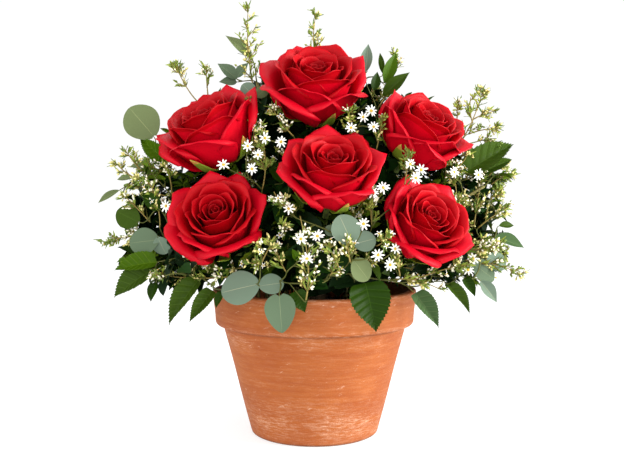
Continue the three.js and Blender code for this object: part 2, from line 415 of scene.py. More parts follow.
@dataclass
class Patch:
    """Points with four-sided faces, and the material slot of each face."""

    points: Array
    faces: Array
    slots: Array

    @classmethod
    def grid(cls, points: Array, slots: Array | None = None, closed: bool = False) -> Patch:
        """A sheet whose rows and columns of points are joined by faces.

        Args:
            points: The points, (rows, columns, 3).
            slots: The slot of each column of faces, or None for 0.
            closed: Whether the last column joins the first.

        Returns:
            The patch.
        """
        rows, columns = points.shape[:2]
        index = np.arange(rows * columns).reshape(rows, columns)
        if closed:
            index = np.concatenate([index, index[:, :1]], axis=1)
        column = np.zeros(index.shape[1] - 1, int) if slots is None else slots
        return cls(points.reshape(-1, 3), quads(index), np.tile(column, rows - 1))

    @classmethod
    def turned(cls, points: Array) -> Patch:
        """Rings joined into a tube whose two ends are closed.

        Args:
            points: The points, (rings, around, 3), where around is even.

        Returns:
            The patch.
        """
        rings, around = points.shape[:2]
        tube = cls.grid(points, closed=True)
        faces = np.concatenate([tube.faces, fan(around)[:, ::-1], fan(around) + (rings - 1) * around])
        return cls(tube.points, faces, np.zeros(len(faces), int))

    @classmethod
    def shell(cls, sheet: Array, thickness: float) -> Patch:
        """A thin closed wall: a sheet moved half the thickness to either side and joined at its rim.

        Args:
            sheet: The points, (rows, columns, 3).
            thickness: The wall, in metres.

        Returns:
            The patch.
        """
        rows, columns = sheet.shape[:2]
        normal = unit(np.cross(np.gradient(sheet, axis=1), np.gradient(sheet, axis=0)))
        front, back = sheet + normal * thickness / 2, sheet - normal * thickness / 2
        index = np.arange(rows * columns).reshape(rows, columns)
        ring = np.concatenate([index[0, :-1], index[:-1, -1], index[-1, :0:-1], index[:0:-1, 0]])
        after = np.roll(ring, -1)
        step = rows * columns
        rim = np.stack([ring, ring + step, after + step, after], axis=-1)
        one = cls.grid(front).faces
        faces = np.concatenate([one, one[:, ::-1] + step, rim])
        points = np.concatenate([front.reshape(-1, 3), back.reshape(-1, 3)])
        return cls(points, faces, np.zeros(len(faces), int))

    @classmethod
    def ball(cls, cells: int = 2) -> Patch:
        """A ball of radius 1: a cube's six gridded sides, each point moved out to length 1.

        Args:
            cells: The number of faces along an edge of a side.

        Returns:
            The patch.
        """
        line = np.tan(np.linspace(-1, 1, cells + 1) * math.pi / 4)
        u, v = np.meshgrid(line, line, indexing="ij")
        one = np.ones_like(u)
        sides = []
        for axis in range(3):
            for sign in (1.0, -1.0):
                parts = [u * sign, v, one * sign]
                sides.append(cls.grid(unit(np.stack(parts[-axis:] + parts[:-axis], axis=-1))))
        whole = cls.joined(sides)
        _, first, same = np.unique(np.round(whole.points, 6), axis=0, return_index=True, return_inverse=True)
        return cls(whole.points[first], same.reshape(-1)[whole.faces], whole.slots)

    @classmethod
    def joined(cls, patches: Sequence[Patch]) -> Patch:
        """Several patches as one.

        Args:
            patches: The patches.

        Returns:
            The patch that holds them all.
        """
        starts = np.cumsum([0] + [len(p.points) for p in patches[:-1]])
        faces = np.concatenate([p.faces + s for p, s in zip(patches, starts)])
        slots = np.concatenate([p.slots for p in patches])
        return cls(np.concatenate([p.points for p in patches]), faces, slots)

    def strewn(self, axes: Array, places: Array, slots: Array | int = 0) -> Patch:
        """Many copies of the patch as one.

        Args:
            axes: The turned and scaled axes of each copy, (k, 3, 3).
            places: Where each copy's origin goes, (k, 3).
            slots: What is added to each copy's slots, (k,).

        Returns:
            The patch.
        """
        count = len(places)
        points = np.einsum("kij,nj->kni", axes, self.points) + places[:, None]
        faces = self.faces[None] + (np.arange(count) * len(self.points))[:, None, None]
        slot = self.slots[None] + np.broadcast_to(slots, (count,))[:, None]
        return Patch(points.reshape(-1, 3), faces.reshape(-1, 4), slot.reshape(-1))

    def piece(self, name: str, materials: Sequence[bpy.types.Material], slot: str = "") -> bpy.types.Object:
        """Makes the patch a smooth-shaded piece of the object.

        Args:
            name: The piece's name.
            materials: Its materials, by slot.
            slot: The record's material slot, if it has one; it is not used.

        Returns:
            The Blender object.
        """
        mesh = bpy.data.meshes.new(name)
        mesh.vertices.add(len(self.points))
        mesh.vertices.foreach_set("co", self.points.astype(np.float32).ravel())
        mesh.loops.add(self.faces.size)
        mesh.loops.foreach_set("vertex_index", self.faces.astype(np.int32).ravel())
        mesh.polygons.add(len(self.faces))
        mesh.polygons.foreach_set("loop_start", np.arange(0, self.faces.size, 4, dtype=np.int32))
        mesh.polygons.foreach_set("material_index", self.slots.astype(np.int32))
        for material in materials:
            mesh.materials.append(material)
        mesh.update(calc_edges=True)
        mesh.shade_smooth()
        made = bpy.data.objects.new(name, mesh)
        bpy.context.scene.collection.objects.link(made)
        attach(made, BODY)
        log.info("%s: %d faces", name, len(self.faces))
        return made


def tubes(paths: Array, radii: Array, sides: int = 4) -> Patch:
    """Round limbs: at each point of a path a ring, square to it, with both ends capped.

    Args:
        paths: The points of each path, (k, n, 3).
        radii: The radius at each of them, (k, n), or of each point of its ring, (k, n, sides).
        sides: Even number of points in a ring.

    Returns:
        The patch.
    """
    count, steps = paths.shape[:2]
    tangent = unit(np.gradient(paths, axis=1))
    mean = unit(paths[:, -1] - paths[:, 0])
    least = np.eye(3)[np.argmin(np.abs(mean), axis=1)]
    reference = np.cross(mean, least)[:, None]
    side = unit(np.cross(tangent, np.broadcast_to(reference, tangent.shape)))
    other = np.cross(tangent, side)
    turn = np.arange(sides) * 2 * math.pi / sides
    ring = side[:, :, None] * np.cos(turn)[:, None] + other[:, :, None] * np.sin(turn)[:, None]
    width = radii[..., None, None] if radii.ndim == 2 else radii[..., None]
    points = paths[:, :, None] + ring * width
    index = np.arange(steps * sides).reshape(steps, sides)
    wrapped = np.concatenate([index, index[:, :1]], axis=1)
    one = np.concatenate([quads(wrapped), fan(sides)[:, ::-1], fan(sides) + (steps - 1) * sides])
    faces = one[None] + (np.arange(count) * steps * sides)[:, None, None]
    return Patch(points.reshape(-1, 3), faces.reshape(-1, 4), np.zeros(count * len(one), int))


def bent(starts: Array, leave: Array, ends: Array, arrive: Array, steps: int) -> Array:
    """Smooth paths from start to end, as cubic curves that leave and arrive along given directions.

    Args:
        starts: The first points, (k, 3).
        leave: How each path sets out; its length sets how long it holds that course.
        ends: The last points, (k, 3).
        arrive: How each path comes in, in the same way.
        steps: The number of points on a path.

    Returns:
        The paths, (k, steps, 3).
    """
    t = np.linspace(0, 1, steps)[None, :, None]
    near, far = (starts + leave)[:, None], (ends - arrive)[:, None]
    s = 1 - t
    return s**3 * starts[:, None] + 3 * s**2 * t * near + 3 * s * t**2 * far + t**3 * ends[:, None]


def any_way(rng: np.random.Generator, count: int) -> Array:
    """Directions spread evenly over a ball."""
    return unit(rng.normal(size=(count, 3)))


# ---- The pot, the soil and the stem ---------------------------------------------------------------------


@dataclass
class Pot:
    """A turned clay pot with an upright lip."""

    height: float = 0.1455
    rim: float = 0.1025
    lip_height: float = 0.111
    lip_foot: float = 0.0995
    neck: float = 0.0924
    base: float = 0.0638
    wall: float = 0.0075
    floor: float = 0.009
    drain: float = 0.011
    around: int = 160

    def profile(self) -> Array:
        """The wall's outline as radius and height: straight runs whose corners are rounded by quarter turns.

        Returns:
            The points, (n, 2), from the drain hole round the outside and back.
        """
        inner_rim = self.rim - self.wall - 0.001
        inner_neck, inner_base = self.neck - self.wall, self.base - self.wall
        # Each corner's radius and height, and how far its rounding reaches.
        corners = [
            (self.drain, 0.0, 0.0012),
            (self.base, 0.0, 0.0038),
            (self.neck, self.lip_height, 0.0011),
            (self.lip_foot, self.lip_height, 0.0026),
            (self.rim, self.height, 0.0034),
            (inner_rim, self.height, 0.0030),
            (inner_neck, self.lip_height, 0.004),
            (inner_base, self.floor, 0.004),
            (self.drain, self.floor, 0.0012),
        ]
        spots = np.array([c[:2] for c in corners])
        reach = np.array([c[2] for c in corners])[:, None]
        back = unit(np.roll(spots, 1, axis=0) - spots) * reach
        onward = unit(np.roll(spots, -1, axis=0) - spots) * reach
        t = np.linspace(0, 1, 7)[None, :, None]
        start, end = (spots + back)[:, None], (spots + onward)[:, None]
        rounds = (1 - t) ** 2 * start + 2 * t * (1 - t) * spots[:, None] + t**2 * end
        after = np.roll(start, -1, axis=0)
        runs = end + np.linspace(0, 1, 9)[None, 1:-1, None] * (after - end)
        return np.concatenate([rounds, runs], axis=1).reshape(-1, 2)

    def build(self) -> None:
        """Carries the outline round the axis, with faint throwing rings and a rim a little out of true."""
        outline = self.profile()
        turn = np.linspace(0, 2 * math.pi, self.around, endpoint=False)
        radius, z = outline[:, :1], outline[:, 1:]
        rings = 0.00016 * np.sin(z * 1500 + 0.8 * np.sin(turn)) * (radius > self.drain * 1.5)
        true = 1 + 0.0022 * np.sin(2 * turn + 0.7) * (z / self.height) ** 2
        r = (radius + rings) * true
        points = np.stack([r * np.cos(turn), r * np.sin(turn), np.broadcast_to(z, r.shape)], axis=-1)
        patch = Patch.grid(np.concatenate([points, points[:1]]), closed=True)
        patch.points = patch.points[: -self.around]
        patch.faces %= len(patch.points)
        clay = Clay().material(foot=0.04, lip=self.lip_height, rim=self.height)
        made = patch.piece("clay_pot", [clay], "terracotta")
        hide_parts("pot")


@dataclass
class Soil:
    """Lumpy soil below the pot's rim, with loose crumbs on it."""

    top: float = 0.130
    radius: float = 0.0875
    crumbs: int = 420

    def height(self, x: Array, y: Array) -> Array:
        """The soil's height: a level that falls to the wall with the fourth power, and three crossing waves.

        Args:
            x: How far to the side each place lies.
            y: How far back it lies.

        Returns:
            The height at each place.
        """
        waves = np.sin(x * 210 + 1.3) * np.cos(y * 170) + 0.6 * np.sin((x + y) * 420)
        waves = waves + 0.5 * np.cos(x * 640 - y * 510)
        return self.top - 0.0025 + 0.0011 * waves - 0.004 * (np.hypot(x, y) / self.radius) ** 4

    def build(self) -> None:
        """Makes the bed, a ring grid whose middle ring is closed, and strews the crumbs on it."""
        rng = np.random.default_rng(5)
        turn = np.linspace(0, 2 * math.pi, 64, endpoint=False)
        r = np.concatenate([[0.0004], np.linspace(0.004, self.radius, 26)])[:, None]
        x, y = r * np.cos(turn), r * np.sin(turn)
        top = np.stack([x, y, self.height(x, y)], axis=-1)
        skirt = top[-1:] * np.array([0.93, 0.93, 0.0]) + np.array([0.0, 0.0, 0.1])
        low = skirt * np.array([0.01, 0.01, 1.0])
        bed = Patch.turned(np.concatenate([top, skirt, low])[::-1])
        spot = self.radius * np.sqrt(rng.random(self.crumbs)) * 0.97
        way = rng.random(self.crumbs) * 2 * math.pi
        place = np.stack([spot * np.cos(way), spot * np.sin(way), np.zeros_like(spot)], axis=-1)
        place[:, 2] = self.height(place[:, 0], place[:, 1]) + 0.0006
        size = rng.uniform(0.0009, 0.0034, (self.crumbs, 1, 1)) * rng.uniform(0.5, 1.0, (self.crumbs, 1, 3))
        axes = frames_along(any_way(rng, self.crumbs), any_way(rng, self.crumbs)) * size
        lumps = Patch.ball(2).strewn(axes, place)
        made = Patch.joined([bed, lumps]).piece("soil_bed", [Earth().material()], "soil")
        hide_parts("soil")


@dataclass
class Stem:
    """The short woody stem with a flared foot and a knobbly head."""

    foot: float = 0.1285
    flare: float = 0.019
    waist: float = 0.011
    head: float = 0.0162
    head_height: float = 0.0298

    @property
    def centre(self) -> Array:
        """The middle of the head."""
        return np.array([0.0, 0.0, self.foot + self.head_height])

    def build(self) -> None:
        """Carries a profile round the axis and swells it with knobs and fissures."""
        t = np.linspace(0, 1, 44)[:, None]
        turn = np.linspace(0, 2 * math.pi, 56, endpoint=False)
        lower = self.waist + (self.flare - self.waist) * np.exp(-t * 14)
        rise = t * (self.head_height + self.head * 0.999)
        drop = (rise - self.head_height) / self.head
        ball = self.head * np.sqrt(np.clip(1 - drop**2, 0.0004, 1))
        r = np.where(drop > -0.72, ball, lower)
        knobs = 0.10 * np.sin(3 * turn + 1 + 9 * t) * np.sin(5 * t + 0.6)
        fissures = 0.05 * np.sin(17 * turn + 3 * np.sin(22 * t))
        r = r * (1 + knobs + fissures)
        z = np.broadcast_to(self.foot + rise, r.shape)
        points = np.stack([r * np.cos(turn), r * np.sin(turn), z], axis=-1)
        bark = Bark("old_bark", rgb(62, 46, 30), rgb(128, 104, 70)).material()
        made = Patch.turned(points).piece("woody_stem", [bark], "bark")
        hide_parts("stem")


# ---- The blooms -----------------------------------------------------------------------------------------


class Skin(IntEnum):
    """The finishes of a rose's petals, by material slot."""

    HEART = 0
    MIDDLE = 1
    OUTER = 2
    # Painted shade: the next two are dark reds for the inner petals' lower rows, where shade falls between
    # petals.
    SHADE = 3
    DEPTH = 4
    # Painted light: a lighter red for the outer petals' bellies, as if lit from the front.
    BELLY = 5


PETAL_SKINS = {
    Skin.HEART: Living("petal_heart", rgb(146, 0, 9), 0.55, 0.12, 0.12),
    Skin.MIDDLE: Living("petal_middle", rgb(170, 0, 13), 0.52, 0.13, 0.16),
    Skin.OUTER: Living("petal_outer", rgb(186, 0, 25), 0.5, 0.14, 0.2),
    # Painted shade: the next two dark reds stand for the shade between the inner petals.
    Skin.SHADE: Living("petal_shade", rgb(112, 0, 6), 0.6, 0.08, 0.0),
    Skin.DEPTH: Living("petal_deep_shade", rgb(56, 0, 3), 0.7, 0.04, 0.0),
    # Painted light: the belly's lighter red stands for light on the outer petals' fronts.
    Skin.BELLY: Living("petal_lit_belly", rgb(192, 0, 25), 0.5, 0.14, 0.2),
}
SEPAL_SKINS = (
    Living("sepal", rgb(112, 134, 34), 0.5, 0.3),
    Living("sepal_tip", rgb(190, 140, 66), 0.5, 0.3),
)
CELLS = 12  # faces along a petal, and across it
LIT_BELLY_ROWS = 8  # rows of faces from the foot on an outer petal's belly, painted a lighter red as painted light
UPRIGHT = 0.62  # the share of a petal's length that lies below its rolled rim
PETAL_WALL = 0.00042  # the thickness of a petal, in metres
SEPAL_WALL = 0.0006
NEXT_PETAL = math.radians(137.5)  # the turn from one petal to the next


@dataclass(frozen=True)
class Whorl:
    """A run of petals from the inside out, whose sizes change evenly from its first to its last petal."""

    count: int
    radius: tuple[float, float]  # of the rim, in millimetres
    height: tuple[float, float]  # of the rim over the bloom's foot
    spread: tuple[float, float]  # half the angle that a petal takes up, in degrees
    lean: tuple[float, float]  # how far it leans out at the rim, in degrees
    roll: tuple[float, float]  # how far the rim rolls back, in degrees
    curl: tuple[float, float]  # the length of the rolled part
    point: float  # how far the middle of the rim is drawn out, as a share of the rolled part
    drop: float  # how far the corners fall below the middle, as a share of the height
    flat: float  # 0 follows the circle, 1 is flat across
    skin: Skin
    shaded: int = 0  # rows of faces from the foot painted a darker red, as painted shade between the petals
    deep_shade_rows: int = 0  # rows of them painted near black, as deeper painted shade


WHORLS = (
    Whorl(
        6, (1.6, 8.5), (48, 51), (140, 100), (-4, 2), (10, 20), (3.0, 4.0), 0.0, 0.04, 0.0, Skin.HEART, 7, 6
    ),
    Whorl(
        8, (10.8, 23.4), (52, 53), (88, 72), (3, 11), (19, 33), (4.5, 7.0), 0.1, 0.11, 0.04, Skin.MIDDLE, 6, 4
    ),
    Whorl(
        7, (26.5, 34.0), (52, 47), (70, 62), (12, 22), (38, 52), (8.0, 11.0), 0.2, 0.24, 0.1, Skin.MIDDLE
    ),
    Whorl(
        7, (36.0, 40.5), (44, 36), (62, 58), (26, 38), (64, 82), (11.5, 13.5), 0.45, 0.4, 0.14, Skin.OUTER
    ),
)


@dataclass
class Bloom:
    """One open rose: its head's middle, the way it faces, its size and how it is turned on its cane."""

    name: str
    middle: Point
    faces: Point
    size: float
    turn: float
    foot_depth: float = 34.0

    def axes(self) -> Array:
        """The bloom's own axes, of which Z is the way it faces.

        Returns:
            The axes X, Y and Z as columns, (3, 3).
        """
        z = unit(np.array(self.faces))
        x = unit(np.cross(UP, z))
        return np.stack([x, np.cross(z, x), z], axis=-1)

    def foot(self) -> Array:
        """Where the head meets its cane."""
        return np.array(self.middle) * MM - unit(np.array(self.faces)) * self.foot_depth * self.size * MM

    def placed(self, local: Array) -> Array:
        """Points given in millimetres from the foot, as points of the bush."""
        return local * (self.size * MM) @ self.axes().T + self.foot()

    def petal(self, whorl: Whorl, share: float, centre: float, rng: np.random.Generator) -> Array:
        """One petal as a sheet.

        The body rises from the foot along a cubic curve in radius and height, and its last part rolls back
        round a circle. Across, it follows a circle about the axis, partly flattened; its corners fall, one
        edge tucks in and the other stands out, and the middle of its rim stands out as a point.

        Args:
            whorl: The run that it belongs to.
            share: How far through the run it is, from 0 to 1.
            centre: The direction of its middle, in radians.
            rng: The source of its small differences.

        Returns:
            The points in millimetres from the foot, (rows, columns, 3).
        """

        def at(pair: tuple[float, float], wobble: float = 0.0) -> float:
            """The run's value at this petal, with a small difference of its own."""
            return (pair[0] + (pair[1] - pair[0]) * share) * (1 + wobble * rng.normal())

        t = np.linspace(0, 1, CELLS + 1)[:, None]
        s = np.linspace(-1, 1, CELLS + 1)[None]
        across = np.abs(s)
        radius = at(whorl.radius, 0.014) * (1 + 0.036 * s)
        height = at(whorl.height, 0.012) * (1 - whorl.drop * across**2.6)
        height = height * (1 + 0.012 * np.sin(3.1 * s + rng.uniform(0, 6)))
        lean = np.radians(at(whorl.lean) + 3 * rng.normal() * share)
        roll = np.radians(at(whorl.roll, 0.12)) * (0.95 + whorl.point * (1.6 * across**0.8 - 0.9))
        roll = roll * (1 + 0.35 * whorl.point * np.sin(5.6 * s + rng.uniform(0, 6)))
        curl = at(whorl.curl, 0.1) * np.sqrt(1 - 0.95 * s**2) * (1 + whorl.point * np.exp(-across / 0.22))
        r, z = self.body(radius, height, lean, np.clip(t / UPRIGHT, 0, 1))
        bow = np.clip((t - UPRIGHT) / (1 - UPRIGHT), 0, 1)
        angle = lean + roll * bow
        bend = curl / np.maximum(roll, 0.05)
        r = r + bend * (np.cos(lean) - np.cos(angle))
        z = z + bend * (np.sin(angle) - np.sin(lean))
        wave = rng.uniform(0.2, 0.75) * np.sin(rng.uniform(1.6, 3.2) * s * math.pi / 2 + rng.uniform(0, 6))
        r = r + wave * t**3 * (0.4 + 0.035 * radius)
        ruffle = bow**2 * (0.25 + 0.028 * radius) * (1 - 0.5 * across)
        r = r + ruffle * np.sin(rng.uniform(8, 10) * s + rng.uniform(0, 6))
        z = z + ruffle * np.sin(rng.uniform(5.5, 7.5) * s + rng.uniform(0, 6))
        widen = 0.7 + 0.3 * np.sin(np.clip(t * 1.5, 0, 1) * math.pi / 2)
        reach = np.radians(at(whorl.spread, 0.05)) * widen * (1 - 0.16 * bow**2)
        theta = s * reach
        forward = r * (whorl.flat + (1 - whorl.flat) * np.cos(theta))
        sideways = r * np.sin(theta)
        x = forward * math.cos(centre) - sideways * math.sin(centre)
        y = forward * math.sin(centre) + sideways * math.cos(centre)
        return np.stack([x, y, z], axis=-1)

    @staticmethod
    def body(radius: Array | float, height: Array | float, lean: float, t: Array) -> tuple[Array, Array]:
        """A petal's run from foot to rim, bellied like a goblet: a cubic curve in radius and height.

        Args:
            radius: The radius at the rim, in millimetres.
            height: The height there.
            lean: How far it leans out there, in radians.
            t: The way along, from 0 to 1.

        Returns:
            The radius and the height.
        """
        u = 1 - t
        low_r, low_z = radius * 0.76 + 2.0, height * 0.02
        up_r, up_z = radius + 1 - height * 0.42 * math.sin(lean), height * (1 - 0.42 * math.cos(lean))
        r = u**3 * 3.5 + 3 * u**2 * t * low_r + 3 * u * t**2 * up_r + t**3 * radius
        z = u**3 * 1.0 + 3 * u**2 * t * low_z + 3 * u * t**2 * up_z + t**3 * height
        return r, z

    def petals(self) -> Patch:
        """All the petals, each turned about 137 degrees on from the last, as thin walls.

        Returns:
            The petals as one patch, with each face's finish as its slot.
        """
        rng = np.random.default_rng(int(self.turn * 100) + 3)
        walls = []
        centre = self.turn
        sides = np.tile(np.repeat(np.arange(CELLS), CELLS), 2)
        row = np.concatenate([sides, np.full(4 * CELLS, CELLS)])
        front = slice(CELLS * CELLS)
        for whorl in WHORLS:
            for i in range(whorl.count):
                sheet = self.petal(whorl, i / (whorl.count - 1), centre, rng)
                wall = Patch.shell(self.placed(sheet), PETAL_WALL)
                wall.slots[:] = whorl.skin
                # Painted shade: the inner whorls' lower rows take dark reds for the shade between the petals.
                if whorl.shaded:
                    wall.slots[row < whorl.shaded] = Skin.SHADE
                    wall.slots[row < whorl.deep_shade_rows] = Skin.DEPTH
                else:
                    # Painted light: an outer petal's outer belly takes a lighter red, as if lit.
                    wall.slots[front][row[front] < LIT_BELLY_ROWS] = Skin.BELLY
                walls.append(wall)
                centre += NEXT_PETAL
        return Patch.joined(walls)

    def calyx(self) -> Patch:
        """The green hip under the head, a turned profile, and five sepals that follow the petals up.

        A sepal's half width is the power 0.8 of a sine of the way along, and narrows to its tip.

        Returns:
            The hip and the sepals, whose tips are in slot 1.
        """
        t = np.linspace(0, 1, 12)[:, None]
        turn = np.linspace(0, 2 * math.pi, 16, endpoint=False)[None]
        bulge = 4.4 * np.sin(np.clip(t * 1.2, 0, 1) * math.pi * 0.5) ** 1.6
        r = 2.6 + bulge - 6.4 * np.clip(t - 0.8, 0, 1) * 4
        r = np.maximum(r, 0.4) * np.ones_like(turn)
        z = -9.0 + 11.0 * t * np.ones_like(turn)
        hip = Patch.turned(self.placed(np.stack([r * np.cos(turn), r * np.sin(turn), z], axis=-1)))
        rng = np.random.default_rng(int(self.turn * 100) + 9)
        u, v = np.linspace(0, 1, 11)[:, None], np.linspace(-1, 1, 5)[None]
        sepals = []
        for k in range(5):
            way = math.radians(-84 + 72 * k + 9 * rng.normal())
            far, flare = rng.uniform(0.8, 0.95), rng.uniform(0.5, 5.0)
            half = 7.2 * np.sin(math.pi * (0.18 + 0.82 * u) ** 1.1) ** 0.8 * (1 - 0.35 * u) + 0.12
            r, z = self.body(42.5, 34.0, math.radians(40), u * far)
            side = v * half
            lift = r + 1.2 + 2.6 * np.sin(math.pi * np.clip(u * 1.4, 0, 0.8)) + flare * u**3 - 0.02 * side**2
            x = lift * math.cos(way) - side * math.sin(way)
            y = lift * math.sin(way) + side * math.cos(way)
            sheet = np.stack([x, y, z - 1.2 + 0 * side], axis=-1)
            sepal = Patch.shell(self.placed(sheet), SEPAL_WALL)
            # On both sides of the sheet, eight rows of four faces are green and two are the tip.
            sepal.slots[:80] = np.tile(np.repeat([0] * 8 + [1] * 2, 4), 2)
            sepals.append(sepal)
        return Patch.joined([hip, *sepals])

    def build(self, petals: Sequence[bpy.types.Material], sepals: Sequence[bpy.types.Material]) -> None:
        """Makes the petals, and the hip with its sepals.

        Args:
            petals: The petals' materials, by slot.
            sepals: The sepals' materials, by slot.
        """
        made = self.petals().piece(f"petals_{self.name}", petals, "rose_petal")
        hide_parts(f"bloom_{self.name}")
        self.calyx().piece(f"calyx_{self.name}", sepals, "rose_leaf")


BLOOMS = (
    Bloom("top", (1, -25, 347), (0.06, -0.57, 0.82), 1.04, 1.79),
    Bloom("upper_left", (-98, -45, 302), (-0.43, -0.40, 0.81), 1.01, 1.6),
    Bloom("upper_right", (102, -45, 301), (0.44, -0.46, 0.77), 0.92, 1.95),
    Bloom("middle", (15, -95, 261), (0.09, -0.60, 0.79), 0.93, 1.45),
    Bloom("lower_left", (-88, -85, 217), (-0.13, -0.76, 0.64), 0.91, 1.7),
    Bloom("lower_right", (100, -85, 213), (0.41, -0.70, 0.59), 0.86, 2.1),
    Bloom("back_upper_left", (-64, 72, 288), (-0.35, 0.58, 0.74), 0.94, 0.9),
    Bloom("back_upper_right", (62, 76, 282), (0.36, 0.60, 0.72), 0.92, 1.9),
    Bloom("back_middle", (4, 108, 214), (0.03, 0.85, 0.53), 0.92, 2.8),
    Bloom("back_left", (-114, 42, 214), (-0.78, 0.40, 0.50), 0.90, 3.9),
    Bloom("back_right", (114, 44, 216), (0.78, 0.40, 0.50), 0.90, 5.0),
)


# ---- The limbs ------------------------------------------------------------------------------------------


@dataclass(frozen=True)
class Shoot:
    """A slender shoot that carries a bud spray, in millimetres and degrees."""

    name: str
    at: Point  # the spray's middle
    half: float  # half the spray's length
    along: Point  # the way the spray leans
    angle: float  # where the shoot leaves the soil, round the pot's axis
    radius: float  # how far from the axis it leaves it

    def curve(self) -> tuple[Array, Array, Array, Array]:
        """The curve from the soil to the spray, in metres.

        Returns:
            Its start, its leaving run, its end and its arriving run.
        """
        turn = math.radians(self.angle)
        start = np.array([self.radius * math.cos(turn), self.radius * math.sin(turn), 130.35])
        end = np.array(self.at) - unit(np.array(self.along)) * 0.78 * self.half
        knee = np.array([start[0], start[1], start[2] + 0.45 * (end[2] - start[2])])
        return start * MM, (knee - start) * 2 / 3 * MM, end * MM, (end - knee) * 2 / 3 * MM


SHOOTS = (
    Shoot("top_left", (-62, 6, 384), 40, (-0.12, 0, 1), 150, 34),
    Shoot("top", (2, 24, 396), 31, (0.02, 0, 1), 75, 36),
    Shoot("top_right", (74, 26, 352), 38, (0.35, 0, 1), 42, 44),
    Shoot("upper_left", (-121, 14, 344), 38, (-0.5, 0, 1), 178, 48),
    Shoot("left", (-166, -20, 298), 37, (-0.4, 0, 1), 196, 58),
    Shoot("upper_right", (170, -6, 314), 38, (0.45, 0, 1), 8, 50),
    Shoot("right", (178, -30, 266), 28, (0.7, 0, 1), -16, 58),
    Shoot("back", (-10, 128, 316), 36, (0, 0.3, 1), 120, 36),
)


@dataclass
class Limbs:
    """The canes from the stem's head to the blooms, and the shoots from the soil to the sprays."""

    head: Array
    head_radius: float = 0.016
    steps: int = 30
    prickle_count: int = 90

    def canes(self) -> Array:
        """The canes' paths, which leave the head outwards and arrive in line with their blooms.

        Returns:
            The points of each path, (11, steps, 3).
        """
        ends = np.stack([bloom.foot() for bloom in BLOOMS])
        facing = unit(np.array([bloom.faces for bloom in BLOOMS], float))
        out = unit(ends - self.head)
        starts = self.head + out * self.head_radius * 0.8
        reach = np.linalg.norm(ends - starts, axis=1, keepdims=True) / 3
        return bent(starts, out * reach, ends + facing * 0.001, facing * reach, self.steps)

    def shoots(self) -> Array:
        """The shoots' paths, (8, steps, 3)."""
        parts = [np.stack(part) for part in zip(*[shoot.curve() for shoot in SHOOTS])]
        return bent(*parts, self.steps)

    def rough(self, count: int, foot: float, tip: float, rng: np.random.Generator, sides: int) -> Array:
        """Radii with swellings at the nodes and shallow ridges that wind along the limb.

        Args:
            count: The number of limbs.
            foot: The radius where they begin.
            tip: The radius where they end.
            rng: The source of where the swellings lie.
            sides: The points round a limb.

        Returns:
            The radii, (count, steps, sides).
        """
        t = np.linspace(0, 1, self.steps)[None, :, None]
        phase = rng.uniform(0, 6, (count, 1, 1))
        turn = np.arange(sides)[None, None] * 2 * math.pi / sides
        knots = 0.16 * np.maximum(np.sin(t * 26 + phase), 0) ** 8
        ridges = 0.06 * np.sin(3 * turn + 5 * t + phase) + 0.03 * np.sin(5 * turn - 9 * t)
        return (foot + (tip - foot) * t) * (1 + knots + ridges)

    def prickles(self, paths: Array, rng: np.random.Generator) -> Patch:
        """Short hooked prickles on the canes, as small cones that point out and a little down.

        Args:
            paths: The canes' paths.
            rng: The source of where they stand.

        Returns:
            The prickles.
        """
        count = self.prickle_count
        which = rng.integers(0, len(paths), count)
        step = rng.integers(4, self.steps - 6, count)
        at = paths[which, step]
        along = unit(paths[which, step + 1] - at)
        out = unit(np.cross(along, any_way(rng, count)))
        tip = at + out * 0.0072 - along * 0.0022
        path = np.stack([at + out * 0.0022, at + out * 0.0045 - along * 0.0004, tip], axis=1)
        return tubes(path, np.tile([0.0017, 0.0008, 0.0001], (count, 1)))

    def build(self) -> tuple[Array, Array]:
        """Makes the limbs.

        Returns:
            Points along all of them and their directions there, (n, 3) each.
        """
        rng = np.random.default_rng(21)
        canes, shoots = self.canes(), self.shoots()
        green = Bark("green_bark", rgb(58, 72, 26), rgb(116, 134, 56), 300.0).material()
        brown = Bark("shoot_bark", rgb(84, 76, 36), rgb(142, 136, 70), 400.0).material()
        limbs = tubes(canes, self.rough(len(canes), 0.0034, 0.0027, rng, 10), 10)
        made = Patch.joined([limbs, self.prickles(canes, rng)]).piece("canes", [green], "green_stem")
        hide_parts(*[f"cane_{bloom.name}" for bloom in BLOOMS])
        limbs = tubes(shoots, self.rough(len(shoots), 0.0023, 0.0013, rng, 8), 8)
        made = limbs.piece("shoots", [brown], "green_stem")
        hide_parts(*[f"shoot_{shoot.name}" for shoot in SHOOTS])
        both = [canes[:, 2:-2], shoots[:, 4:]]
        points = np.concatenate([path.reshape(-1, 3) for path in both])
        ways = np.concatenate([unit(np.gradient(path, axis=1)).reshape(-1, 3) for path in both])
        return points, ways


